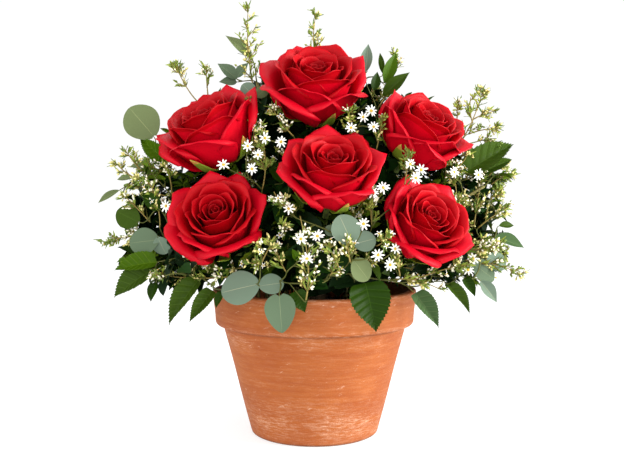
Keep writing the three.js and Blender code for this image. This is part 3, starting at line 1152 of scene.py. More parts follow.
@dataclass
class Growth:
    """Twigs that grow on from the limbs, each from the point that asks for the least turn and run."""

    points: Array
    ways: Array
    hub: Array
    rng: np.random.Generator
    twigs: list[Array] = field(default_factory=list)

    def reach(self, target: Array, arrive: Array) -> None:
        """Grows one twig, which later twigs can grow on from.

        A point to grow from costs its distance, more the more the twig has to turn there, and more if it
        lies further out than the target. Points that nearly touch the target aren't used.

        Args:
            target: Where it ends.
            arrive: The direction in which it comes in there.
        """
        gap = target - self.points
        far = np.linalg.norm(gap, axis=1)
        turn = 1 - np.einsum("ij,ij->i", gap, self.ways) / np.maximum(far, 1e-6)
        beyond = np.linalg.norm(self.points - self.hub, axis=1) - np.linalg.norm(target - self.hub) + 0.004
        cost = far * (1 + 0.45 * turn) + 1.5 * np.maximum(beyond, 0) + np.where(far < 0.004, 1.0, 0.0)
        best = int(np.argmin(cost))
        leave = unit(self.ways[best] * 0.7 + gap[best] / far[best]) * far[best] * 0.4
        side = any_way(self.rng, 1)[0] * far[best] * 0.06
        come = unit(arrive) * far[best] * 0.36 + side
        path = bent(self.points[best][None], leave[None], target[None], come[None], 7)[0]
        self.twigs.append(path)
        self.points = np.concatenate([self.points, path[2:]])
        self.ways = np.concatenate([self.ways, unit(np.gradient(path, axis=0))[2:]])

    def patch(self, foot: float, tip: float) -> Patch:
        """The twigs as four-sided limbs that taper from one radius to the other."""
        paths = np.stack(self.twigs)
        return tubes(paths, np.tile(np.linspace(foot, tip, paths.shape[1]), (len(paths), 1)))


# ---- Leaves ---------------------------------------------------------------------------------------------


class LeafKind(Enum):
    """The kinds of leaf, by outline."""

    TOOTHED = "toothed"
    SLIM = "slim"
    ROUND = "round"
    HEART = "heart"
    INNER = "inner"


@dataclass(frozen=True)
class Outline:
    """How a leaf is cut and bent, for a leaf of length 1 and width 1."""

    swell: float  # below 1 the widest place moves towards the base
    blunt: float  # below 1 the ends are blunter
    notch: float  # how far the two halves reach back behind the stalk
    teeth: float  # how far the teeth stand out
    fold: float  # how far the halves rise from the midrib
    droop: float  # how far the tip hangs back
    pucker: float  # the depth of the furrows over the side veins
    rib: float = 0.03  # half the midrib's width
    taper: float = 0.0  # how much finer the tip gets than the base


OUTLINES = {
    LeafKind.TOOTHED: Outline(0.43, 0.62, 0.03, 0.036, 0.30, 0.20, 0.012, 0.024, 0.65),
    LeafKind.SLIM: Outline(0.84, 0.85, 0.0, 0.0, 0.26, 0.14, 0.0, 0.03, 0.3),
    LeafKind.ROUND: Outline(0.98, 0.52, 0.05, 0.0, 0.08, 0.05, 0.006, 0.016),
    LeafKind.HEART: Outline(0.66, 0.60, 0.07, 0.0, 0.12, 0.10, 0.010, 0.018),
    LeafKind.INNER: Outline(0.85, 0.8, 0.0, 0.0, 0.26, 0.2, 0.0),
}
ROWS = {LeafKind.TOOTHED: (13, 0), LeafKind.SLIM: (7, 15), LeafKind.ROUND: (7, 17), LeafKind.HEART: (9, 17)}
VEINS = 7


def stations(rows: int) -> tuple[Array, Array, Array]:
    """Where a leaf's rows of points lie, how far each stands out as a tooth, and which strips are side veins.

    Args:
        rows: The number of rows, or 0 for a large leaf with side veins, each with two teeth after it.

    Returns:
        The places from 0 to 1, the teeth from -1 to 1, and a flag for each strip between two rows.
    """
    if rows:
        places = (1 - np.cos(np.linspace(0.02, math.pi * 0.995, rows))) / 2
        return places, np.where(np.arange(rows) % 2, 1.0, -1.0), np.zeros(rows - 1, bool)
    step = 0.93 / VEINS
    one = np.array([0.0, 0.09, 0.34, 0.60, 0.82]) * step
    places = np.concatenate([(0.02 + np.arange(VEINS)[:, None] * step + one).ravel(), [0.965, 0.999]])
    teeth = np.concatenate([np.tile([0.7, 1.0, -1.0, 0.7, -0.8], VEINS), [0.0, 0.0]])
    veins = np.concatenate([np.tile([True, False, False, False, False], VEINS), [False]])
    veins[0] = False
    return places, teeth, veins


def leaf(kind: LeafKind, rows: int, fine: bool) -> Patch:
    """A leaf that starts at the origin, runs along Y and faces Z.

    Across, it reaches to either side half of sin(pi u^swell)^(blunt + taper u), and stands out at its teeth.
    Along, its rows run forward towards the edge, as side veins do. Up, it rises with the distance from the
    midrib, hangs back with the square of the way along, and is furrowed over its side veins.

    Args:
        kind: The kind of leaf.
        rows: The points along it, or 0 for a large leaf with side veins.
        fine: Whether it has more points across.

    Returns:
        The leaf, with its veins in slot 1 and the rest in slot 0.
    """
    cut = OUTLINES[kind]
    rib = cut.rib
    columns = [-1, -0.72, -0.4, -rib, rib, 0.4, 0.72, 1] if fine else [-1, -0.5, -rib, rib, 0.5, 1]
    columns = [-1, 0, 1] if kind is LeafKind.INNER else columns
    v = np.array(columns)[None]
    places, teeth, veins = stations(rows)
    u = places[:, None]
    saw = teeth[:, None] * (np.abs(v) == 1) * cut.teeth
    arch = np.sin(math.pi * np.clip(u, 0.004, 0.996) ** cut.swell)
    half = 0.5 * arch ** (cut.blunt + cut.taper * u) + 0.012 * (1 - u)
    x = v * half * (1 + saw)
    slant = 0.5 * np.abs(v) * (1 - u) * np.sqrt(u) if cut.teeth else 0.0
    y = u + slant - cut.notch * np.abs(v) * (1 - u) ** 6 + 0.45 * saw * np.ones_like(u)
    z = cut.fold * np.abs(x) - cut.droop * u**2
    period = VEINS / 0.93 if not rows else 6.5
    ridge = np.cos(2 * math.pi * (period * (u - 0.02) - (0.0 if not rows else 1.3) * np.abs(v)))
    z = z - cut.pucker * ridge * np.abs(v) * (1.1 - np.abs(v)) * 4
    slots = [int(len(columns) > 3 and i == len(columns) // 2 - 1) for i in range(len(columns) - 1)]
    made = Patch.grid(np.stack([x, y, z], axis=-1), np.array(slots))
    made.slots = np.maximum(made.slots, np.repeat(veins, len(columns) - 1))
    return made


@dataclass
class Leaves:
    """Leaves of one plant's finish, collected by kind and joined into pieces."""

    name: str
    slot: str
    tints: tuple[tuple[tuple, tuple], ...]
    rough: float
    found: dict[tuple[LeafKind, bool], list] = field(default_factory=dict)

    def add(
        self,
        kind: LeafKind,
        base: Array,
        tip: Array,
        facing: Array,
        width: float,
        tint: int,
        fine: bool = False,
    ) -> None:
        """Adds one leaf.

        Args:
            kind: Its kind.
            base: Where its blade begins.
            tip: Where its blade ends.
            facing: Roughly where its upper side looks.
            width: Its width.
            tint: The number of its tint.
            fine: Whether it is one of the large leaves that are seen close to.
        """
        self.found.setdefault((kind, fine), []).append((base, tip, facing, width, tint))

    def patch(self) -> Patch:
        """All the leaves as one patch.

        Returns:
            The leaves, with two slots for each tint: the blade and the rib.
        """
        whole = []
        for (kind, fine), leaves in self.found.items():
            base, tip, facing, width, tint = (np.array(part, float) for part in zip(*leaves))
            length = np.linalg.norm(tip - base, axis=1)
            size = np.stack([width, length, length], axis=1)[:, None, :]
            one = leaf(kind, ROWS.get(kind, (5, 5))[fine], fine)
            whole.append(one.strewn(frames_along(tip - base, facing) * size, base, tint.astype(int) * 2))
        return Patch.joined(whole)

    def build(self, nodes: Sequence[str]) -> None:
        """Makes the piece.

        Args:
            nodes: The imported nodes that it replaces.
        """
        materials = []
        for i, (blade, rib) in enumerate(self.tints):
            materials.append(Living(f"{self.name}_{i}", blade, self.rough, 0.06).material())
            materials.append(Living(f"{self.name}_rib_{i}", rib, self.rough + 0.1, 0.06).material())
        made = self.patch().piece(self.name, materials, self.slot)
        if nodes:
            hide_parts(*nodes)


# ---- Bud sprays and daisies -----------------------------------------------------------------------------


@dataclass
class Daisies:
    """Small white flowers with a yellow middle."""

    heads: list[tuple[Array, Array, float, int]] = field(default_factory=list)

    def add(self, at: Array, facing: Array, radius: float, petals: int) -> None:
        """Adds one flower by its middle, the way it faces, its radius and its number of petals."""
        self.heads.append((at, unit(facing), radius, petals))

    def build(self, rng: np.random.Generator) -> None:
        """Makes the petals, short rounded blades set in a ring, and the domed middles.

        Args:
            rng: The source of the flowers' small differences.
        """
        at, facing, radius, count = (np.array(part) for part in zip(*self.heads))
        which = np.repeat(np.arange(len(at)), count)
        order = np.concatenate([np.arange(n) / n for n in count])
        turn = (order + rng.normal(0, 0.012, len(order))) * 2 * math.pi
        side = unit(np.cross(facing, any_way(rng, len(at))))[which]
        face = facing[which]
        out = side * np.cos(turn)[:, None] + np.cross(face, side) * np.sin(turn)[:, None]
        out = out + face * rng.uniform(-0.12, 0.3, (len(out), 1))
        size = radius[which] * rng.uniform(0.85, 1.08, len(out))
        u, v = np.linspace(0, 1, 5)[:, None], np.array([[-1.0, 0.0, 1.0]])
        half = 0.13 * np.sin(math.pi * (0.15 + 0.72 * u)) ** 0.6
        rise = 0.10 * np.abs(v) + 0.05 * np.sin(3 * u)
        blade = np.stack([v * half, 0.12 + 0.88 * u + 0 * v, rise], axis=-1)
        petals = Patch.grid(blade).strewn(frames_along(out, face) * size[:, None, None], at[which])
        white = Living("daisy_white", rgb(246, 246, 240), 0.6).material()
        petals.piece("daisy_petals", [white], "white_petal")
        domes = frames_along(unit(np.cross(facing, any_way(rng, len(at)))), facing)
        domes = domes * (radius[:, None, None] * np.array([0.27, 0.27, 0.2]))
        yellow = Living("daisy_yellow", rgb(192, 160, 52), 0.7).material()
        middles = Patch.ball(2).strewn(domes, at + facing * radius[:, None] * 0.06)
        middles.piece("daisy_middles", [yellow], "yellow_centre")


NEEDLE_COLOURS = (rgb(88, 114, 30), rgb(140, 156, 54))
BUD_COLOURS = {
    "green": (rgb(106, 124, 44), rgb(160, 168, 72)),
    "cream": (rgb(218, 208, 132), rgb(244, 240, 214)),
}
LEAF_GREEN, PALE_GREEN, BUTTER, CREAM = range(4)  # the buds' colours, in the order above
TWIG_STEP = 0.0047  # the length of axis for each side twig of a bud spray, in metres
BUDS = 5  # on each side twig


@dataclass
class BudSprays:
    """Airy sprays: a bent axis with side twigs all round it, each ending in a cluster of small buds."""

    rng: np.random.Generator
    daisies: Daisies
    axes: list[Array] = field(default_factory=list)
    twigs: list[Array] = field(default_factory=list)
    stalks: list[Array] = field(default_factory=list)
    buds: list[tuple[Array, Array, Array]] = field(default_factory=list)
    needles: list[tuple[Array, Array]] = field(default_factory=list)

    def add(self, base: Array, tip: Array, reach: float, cream: float) -> None:
        """Adds one spray.

        Args:
            base: Where it begins.
            tip: Where it ends.
            reach: The length of its longest side twigs.
            cream: The share of its buds that are cream, and not green.
        """
        rng = self.rng
        length = float(np.linalg.norm(tip - base))
        sway = any_way(rng, 1) * length * 0.12
        run = (tip - base)[None] * 0.35
        axis = bent(base[None], run + sway, tip[None], run - sway * 0.7, 12)[0]
        self.axes.append(axis)
        count = max(5, int(length / TWIG_STEP))
        place = np.sort(rng.uniform(0.1, 1.0, count))
        index = place * 10.99
        low = index.astype(int)
        at = axis[low] + (axis[low + 1] - axis[low]) * (index - low)[:, None]
        along = unit(axis[low + 1] - axis[low])
        across = unit(np.cross(along, any_way(rng, 1)))
        turn = (np.arange(count) * 2.4 + rng.normal(0, 0.3, count))[:, None]
        side = across * np.cos(turn) + np.cross(along, across) * np.sin(turn)
        way = unit(along * 1.1 + side)
        size = reach * (0.3 + 0.7 * (1 - place)) * rng.uniform(0.55, 1.05, count)
        size = np.maximum(size, 0.004)[:, None]
        ends = at + way * size
        come = unit(way + along * 0.5)
        self.twigs.append(bent(at, way * size * 0.4, ends, come * size * 0.3, 4))
        creamy = rng.random(count) < cream
        ripe = rng.choice([BUTTER, CREAM, CREAM], count)
        tints = np.where(creamy, ripe, rng.choice([LEAF_GREEN, LEAF_GREEN, PALE_GREEN, BUTTER], count))
        spread = unit(come[:, None] + 0.9 * any_way(rng, count * BUDS).reshape(count, BUDS, 3))
        stretch = rng.uniform(0.0022, 0.0052, (count, BUDS, 1))
        back = (np.linspace(0, 0.72, BUDS) * rng.uniform(0.85, 1.15, BUDS))[:, None]
        start = np.repeat(ends[:, None], BUDS, axis=1) - come[:, None] * size[:, None] * back
        stop = start + spread * stretch
        self.stalks.append(np.stack([start.reshape(-1, 3), stop.reshape(-1, 3)], axis=1))
        self.buds.append((stop.reshape(-1, 3), spread.reshape(-1, 3), np.repeat(tints, BUDS)))
        thorn = unit(along + side * rng.uniform(0.3, 1.2, (count, 1)) + 0.4 * any_way(rng, count))
        self.needles.append((at, thorn * rng.uniform(0.006, 0.012, (count, 1))))
        for share in (0.15, 0.45, 0.8):
            blade = unit(way + 0.9 * any_way(rng, count)) * rng.uniform(0.005, 0.009, (count, 1))
            self.needles.append((ends - way * size * share, blade))
        for k in np.flatnonzero(rng.random(count) < 0.34 * cream):
            face = come[k] + 0.4 * any_way(rng, 1)[0]
            self.daisies.add(ends[k] + come[k] * 0.004, face, rng.uniform(0.0028, 0.0042), 5)

    def build(self, nodes: Sequence[str]) -> None:
        """Makes the axes and twigs, the narrow leaves and the buds.

        Args:
            nodes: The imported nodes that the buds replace.
        """
        rng = self.rng
        axes, twigs, stalks = np.stack(self.axes), np.concatenate(self.twigs), np.concatenate(self.stalks)
        wood = [
            tubes(axes, np.tile(np.linspace(0.0007, 0.00035, axes.shape[1]), (len(axes), 1))),
            tubes(twigs, np.tile(np.linspace(0.00048, 0.0003, 4), (len(twigs), 1))),
            tubes(stalks, np.full((len(stalks), 2), 0.00028)),
        ]
        olive = Living("spray_twig", rgb(134, 116, 54), 0.6).material()
        Patch.joined(wood).piece("spray_twigs", [olive], "spray_leaf")
        at, way = (np.concatenate(part) for part in zip(*self.needles))
        u, v = np.array([[0.0], [0.45], [1.0]]), np.array([[-1.0, 0.0, 1.0]])
        half = np.array([[0.06], [0.12], [0.01]])
        blade = Patch.grid(np.stack([v * half, u + 0 * v, 0.06 * np.abs(v) - 0.1 * u**2], axis=-1))
        size = np.linalg.norm(way, axis=1)[:, None, None]
        tint = rng.integers(0, 2, len(at))
        needles = blade.strewn(frames_along(way, any_way(rng, len(at))) * size, at, tint)
        needles.piece("spray_needles", skins("spray_needle", NEEDLE_COLOURS), "spray_leaf")
        at, way, tint = (np.concatenate(part) for part in zip(*self.buds))
        size = rng.uniform(0.0008, 0.0013, (len(at), 1, 1)) * np.array([1.0, 1.35, 1.0])
        run = np.array([[[0.0, -1.0, 0.0], [0.0, -0.45, 0.0], [0.0, 0.35, 0.0], [0.0, 1.2, 0.0]]])
        bud = tubes(run, np.array([[0.3, 0.95, 0.85, 0.12]]))
        frames = frames_along(way, any_way(rng, len(at))) * size
        for first, (name, colours) in zip((LEAF_GREEN, BUTTER), BUD_COLOURS.items()):
            some = (tint >= first) & (tint < first + 2)
            buds = bud.strewn(frames[some], at[some], tint[some] - first)
            made = buds.piece(f"{name}_buds", skins(f"{name}_bud", colours), "spray_leaf")
            if name == "green":
                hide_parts(*nodes)


# ---- The foliage ----------------------------------------------------------------------------------------

LEAFY = (
    *("heart", "crown", "left", "right"),
    *("front", "front_left", "front_right"),
    *("back", "back_left", "back_right"),
)
CORES = {
    "core": ((-0.158, -0.072, 0.148), (0.158, 0.115, 0.362)),
    "face": ((-0.080, -0.118, 0.164), (0.072, -0.070, 0.235)),
    "skirt": ((-0.150, -0.080, 0.158), (0.150, 0.100, 0.188)),
    "side_left": ((-0.198, -0.085, 0.155), (-0.112, 0.02, 0.270)),
    "side_right": ((0.112, -0.085, 0.155), (0.198, 0.02, 0.285)),
}
# The crown's lowest height, by the distance from the pot's axis.
UNDERSIDE = ((0.085, 0.09, 0.125, 0.15, 0.2), (0.136, 0.157, 0.157, 0.145, 0.15))
HALF_WIDTH, HALF_DEPTH = 0.205, 0.165  # the crown's, in metres
INNER_REACH = 0.178  # how far to the side the plain leaves painted in shade reach
SLACK = 0.005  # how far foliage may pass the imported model's box
# How foliage keeps clear of a bloom, in the bloom's own millimetres.
HEAD_MIDDLE = 44  # from its foot to the middle of its open head
HEAD_CLEAR = 52  # the radius kept clear round its axis
SIGHT_CLEAR = 50  # the radius kept clear in front of it
CUP = 22  # how far along the clear space comes to its full radius
DEEP, DARK, MID, FRESH, BRIGHT = range(5)
GREY, PALE, SAGE, DUSK = range(4)
GREENS = (
    (rgb(16, 32, 8), rgb(26, 48, 14)),
    (rgb(30, 53, 4), rgb(42, 68, 12)),
    (rgb(50, 71, 14), rgb(64, 87, 26)),
    (rgb(90, 117, 24), rgb(116, 140, 46)),
    (rgb(58, 86, 4), rgb(78, 104, 18)),
)
GREYS = (
    (rgb(104, 122, 104), rgb(150, 154, 126)),
    (rgb(86, 103, 80), rgb(112, 124, 94)),
    (rgb(100, 112, 74), rgb(126, 134, 92)),
    (rgb(62, 85, 50), rgb(82, 102, 64)),
)
# Painted shade: the inner leaves' near-black greens stand for the shade inside the crown; blade and rib are
# alike.
SHADED = ((rgb(13, 30, 9), rgb(13, 30, 9)), (rgb(22, 50, 12), rgb(22, 50, 12)))


@dataclass(frozen=True)
class Fixed:
    """A large leaf with a place of its own, in millimetres."""

    kind: LeafKind
    base: Point
    tip: Point
    width: float
    tint: int
    grey: bool = False


@dataclass(frozen=True)
class Spray:
    """A bud spray with a place of its own, in millimetres, and the share of its buds that are cream."""

    base: Point
    tip: Point
    reach: float
    cream: float


LARGE = (
    Fixed(LeafKind.TOOTHED, (-146.8, -68, 177.4), (-186.9, -66, 169.4), 19.0, BRIGHT),
    Fixed(LeafKind.TOOTHED, (-151.6, -62, 170.1), (-189.3, -58, 143.3), 24.3, MID),
    Fixed(LeafKind.TOOTHED, (-149.0, -66, 157.7), (-153.1, -70, 140.4), 10.3, DARK),
    Fixed(LeafKind.TOOTHED, (-106.6, -84, 162.4), (-131.0, -98, 123.9), 20.1, MID),
    Fixed(LeafKind.TOOTHED, (-93.1, -86, 153.2), (-112.8, -98, 125.9), 14.4, MID),
    Fixed(LeafKind.TOOTHED, (-83.7, -94, 152.5), (-89.0, -99, 138.3), 8.2, DARK),
    Fixed(LeafKind.TOOTHED, (-17.4, -106, 154.8), (-8.9, -112, 136.6), 16.1, DARK),
    Fixed(LeafKind.TOOTHED, (-145.3, -60, 226.4), (-162.3, -50, 243.6), 13.2, DARK),
    Fixed(LeafKind.TOOTHED, (-141.6, -30, 270.9), (-171.2, -20, 295.0), 16.6, BRIGHT),
    Fixed(LeafKind.TOOTHED, (44.8, -104, 162.6), (53.7, -116, 120.7), 35.6, DARK),
    Fixed(LeafKind.TOOTHED, (90.9, -86, 150.9), (111.2, -98, 121.1), 18.4, DUSK, True),
    Fixed(LeafKind.TOOTHED, (122.8, -74, 157.3), (141.8, -84, 131.5), 13.0, MID),
    Fixed(LeafKind.TOOTHED, (139.8, -66, 162.1), (149.2, -72, 145.3), 10.3, DARK),
    Fixed(LeafKind.TOOTHED, (143.8, -30, 259.6), (196.1, -12, 288.7), 25.4, MID),
    Fixed(LeafKind.TOOTHED, (163.2, -22, 261.2), (196.4, -8, 274.4), 11.8, MID),
    Fixed(LeafKind.SLIM, (-192.7, -20, 244.2), (-214.6, -16, 231.6), 6.9, SAGE, True),
    Fixed(LeafKind.SLIM, (-165.0, -20, 268.3), (-182.9, -14, 267.7), 7.9, SAGE, True),
    Fixed(LeafKind.SLIM, (-179.6, -20, 256.1), (-196.1, -14, 254.7), 7.9, SAGE, True),
    Fixed(LeafKind.SLIM, (-63.9, 8, 377.9), (-89.2, 2, 398.9), 12.3, SAGE, True),
    Fixed(LeafKind.SLIM, (52.2, 14, 364.6), (55.2, 20, 393.4), 12.3, GREY, True),
    Fixed(LeafKind.SLIM, (69.5, 14, 363.0), (67.0, 20, 384.8), 6.2, MID),
    Fixed(LeafKind.SLIM, (70.7, 10, 353.2), (82.9, 14, 383.9), 13.3, BRIGHT),
    Fixed(LeafKind.SLIM, (69.4, 4, 339.4), (95.1, 0, 362.0), 14.2, MID),
    Fixed(LeafKind.SLIM, (59.3, 2, 344.6), (63.2, 4, 363.3), 10.1, DARK),
    Fixed(LeafKind.SLIM, (156.8, -60, 158.6), (170.9, -66, 139.1), 13.2, GREY, True),
    Fixed(LeafKind.SLIM, (176.1, -28, 198.1), (207.0, -20, 187.4), 14.7, DUSK, True),
    Fixed(LeafKind.SLIM, (180.5, -28, 209.3), (196.4, -22, 209.4), 7.8, MID),
    Fixed(LeafKind.HEART, (-31.5, -111, 150.5), (-29.0, -117, 119.1), 27.5, PALE, True),
    Fixed(LeafKind.SLIM, (-78.5, 4, 356.0), (-97.2, 0, 370.8), 14.2, PALE, True),
    Fixed(LeafKind.SLIM, (-78.5, 4, 357.5), (-66.5, 2, 371.9), 11.2, PALE, True),
    Fixed(LeafKind.SLIM, (-78.5, 4, 353.2), (-95.5, -4, 352.2), 10.1, PALE, True),
    Fixed(LeafKind.ROUND, (-158.0, -24, 297.6), (-182.0, -20, 325.0), 36.0, SAGE, True),
    Fixed(LeafKind.ROUND, (-51.3, -102, 160.2), (-84.2, -98, 152.1), 33.2, GREY, True),
    Fixed(LeafKind.ROUND, (-49.1, -104, 158.9), (-28.0, -100, 161.3), 21.4, GREY, True),
    Fixed(LeafKind.ROUND, (-169.6, -44, 213.7), (-191.0, -40, 224.0), 23.0, MID),
    Fixed(LeafKind.ROUND, (-147.7, -64, 197.7), (-174.7, -60, 194.4), 26.2, PALE, True),
    Fixed(LeafKind.ROUND, (-146.8, -66, 199.8), (-140.2, -62, 184.3), 16.8, GREY, True),
    Fixed(LeafKind.ROUND, (32.4, -116, 198.5), (21.5, -112, 222.3), 26.3, GREY, True),
    Fixed(LeafKind.ROUND, (34.8, -112, 197.1), (53.9, -108, 201.7), 19.4, GREY, True),
    Fixed(LeafKind.ROUND, (34.3, -116, 182.6), (47.3, -112, 165.2), 21.0, SAGE, True),
    Fixed(LeafKind.ROUND, (151.8, -48, 173.5), (173.1, -44, 158.5), 24.8, PALE, True),
    Fixed(LeafKind.ROUND, (17.6, -108, 205.0), (10.2, -104, 212.4), 10.6, PALE, True),
    Fixed(LeafKind.ROUND, (-59.9, -20, 337.0), (-71.2, -16, 348.5), 15.8, GREY, True),
    Fixed(LeafKind.ROUND, (-56.3, -24, 335.3), (-46.8, -20, 345.3), 13.8, SAGE, True),
    Fixed(LeafKind.ROUND, (167.8, -40, 179.6), (185.8, -36, 169.9), 19.3, GREY, True),
)
DAISIES = (
    (-82.5, -92, 267.2), (-61.2, -84, 284.6), (-45.6, -80, 292.1), (-31.0, -78, 288.6), (-51.5, -88, 276.3),
    (-56.8, -92, 263.6), (-23.3, -112, 228.0), (-139.0, -66, 229.6), (-12.1, -126, 202.3), (2.2, -126, 204.5),
    (-6.9, -132, 185.4), (55.0, -122, 188.1), (65.8, -118, 179.0), (70.3, -116, 192.9), (52.0, -100, 242.0),
    (61.1, -98, 246.4), (42.8, -112, 214.7), (141.5, -78, 170.8), (145.7, -80, 181.1), (52.5, -62, 318.3),
    (44.9, -64, 312.5), (54.2, -72, 302.7), (33.4, -72, 301.8), (95.8, -92, 262.7), (90.8, -96, 255.4),
    (86.1, -90, 267.7), (129.8, -66, 261.3), (156.5, -44, 258.9),
)
SPRAYS = (
    Spray((-60.8, 0, 342.7), (-66.6, 0, 423.2), 26.3, 0.15),
    Spray((3.5, 18, 375.2), (1.5, 18, 424.8), 16.5, 0.1),
    Spray((146.0, -14, 293.9), (167.3, -14, 345.1), 16.9, 0.1),
    Spray((141.5, -10, 315.9), (142.4, -10, 329.8), 8.0, 0.3),
    Spray((-151.4, -40, 200.1), (-203.6, -40, 194.3), 13.5, 0.2),
    Spray((150.3, -40, 174.9), (199.7, -40, 163.3), 17.4, 0.2),
    Spray((159.6, -30, 207.4), (194.5, -30, 230.8), 17.6, 0.4),
    Spray((-114.4, -6, 330.2), (-140.0, -6, 371.7), 18.1, 0.15),
    Spray((-106.3, -6, 338.1), (-108.1, -6, 369.8), 10.0, 0.4),
    Spray((-7.9, -118, 148.1), (-13.1, -118, 222.0), 20.0, 0.4),
    Spray((-146.6, -56, 208.6), (-155.7, -56, 250.2), 18.9, 0.85),
    Spray((-157.9, -46, 213.9), (-182.5, -46, 238.8), 15.3, 0.8),
    Spray((-49.0, -70, 244.6), (-52.6, -70, 307.4), 16.7, 0.6),
    Spray((-62.0, -44, 254.1), (-65.6, -44, 334.1), 11.5, 0.5),
    Spray((34.9, -60, 291.4), (33.0, -60, 323.1), 13.2, 0.6),
    Spray((57.8, -56, 282.2), (63.3, -56, 312.3), 11.4, 0.6),
    Spray((-72.3, -84, 165.8), (-149.3, -84, 167.7), 10.0, 0.5),
    Spray((85.5, -84, 160.3), (145.9, -84, 178.7), 12.0, 0.4),
    Spray((30.6, -122, 181.9), (27.0, -122, 201.2), 15.7, 0.8),
    Spray((51.7, -92, 212.1), (51.6, -92, 251.9), 10.9, 0.5),
    Spray((136.4, -40, 209.8), (132.1, -40, 267.6), 17.4, 0.6),
    Spray((156.8, -24, 209.1), (164.2, -24, 258.2), 19.7, 0.7),
    Spray((81.4, -84, 244.6), (84.8, -84, 279.2), 11.0, 0.5),
    Spray((-137.5, -40, 238.7), (-143.1, -40, 269.5), 11.6, 0.7),
    Spray((13.2, -116, 169.1), (18.5, -116, 181.4), 12.3, 0.5),
    Spray((-46.8, -112, 181.1), (-34.4, -112, 204.1), 10.6, 0.7),
    Spray((75.7, -108, 168.3), (72.1, -108, 180.7), 10.6, 0.5),
    Spray((173.5, -18, 234.6), (189.2, -18, 248.4), 11.9, 0.5),
    Spray((-13.9, -60, 263.3), (-36.4, -60, 282.1), 9.4, 0.6),
    Spray((-8, 124, 286), (-10, 138, 346), 20.0, 0.3),
    Spray((74.0, -84, 163.0), (116.0, -84, 153.0), 10.0, 0.4),
    Spray((-20.0, -56, 295.0), (-40.0, -56, 322.0), 12.0, 0.85),
    Spray((22.0, -120, 170.0), (9.0, -120, 199.0), 12.0, 0.75),
    Spray((-26.0, -104, 172.0), (-36.0, -104, 196.0), 12.0, 0.5),
    Spray((66.0, 24, 330.0), (84, 26, 384), 14.0, 0.3),
    Spray((150.0, -8, 255.0), (178, -16, 290), 13.0, 0.3),
    Spray((153.0, -12, 300.0), (182.4, -12, 306.5), 9.0, 0.1),
    Spray((158.5, -12, 315.0), (181.4, -12, 323.5), 8.0, 0.1),
    Spray((157.0, -12, 311.0), (154.5, -12, 336.0), 7.0, 0.1),
    Spray((152.0, -14, 290.0), (171.4, -14, 295.0), 7.0, 0.1),
)
# How many inner twigs, green twigs and bud sprays are tried in each part of the crown.
AMOUNTS = (
    ("core", 900, 330, 50),
    ("skirt", 170, 60, 0),
    ("face", 0, 20, 40),
    ("side_left", 50, 110, 66),
    ("side_right", 80, 170, 110),
)


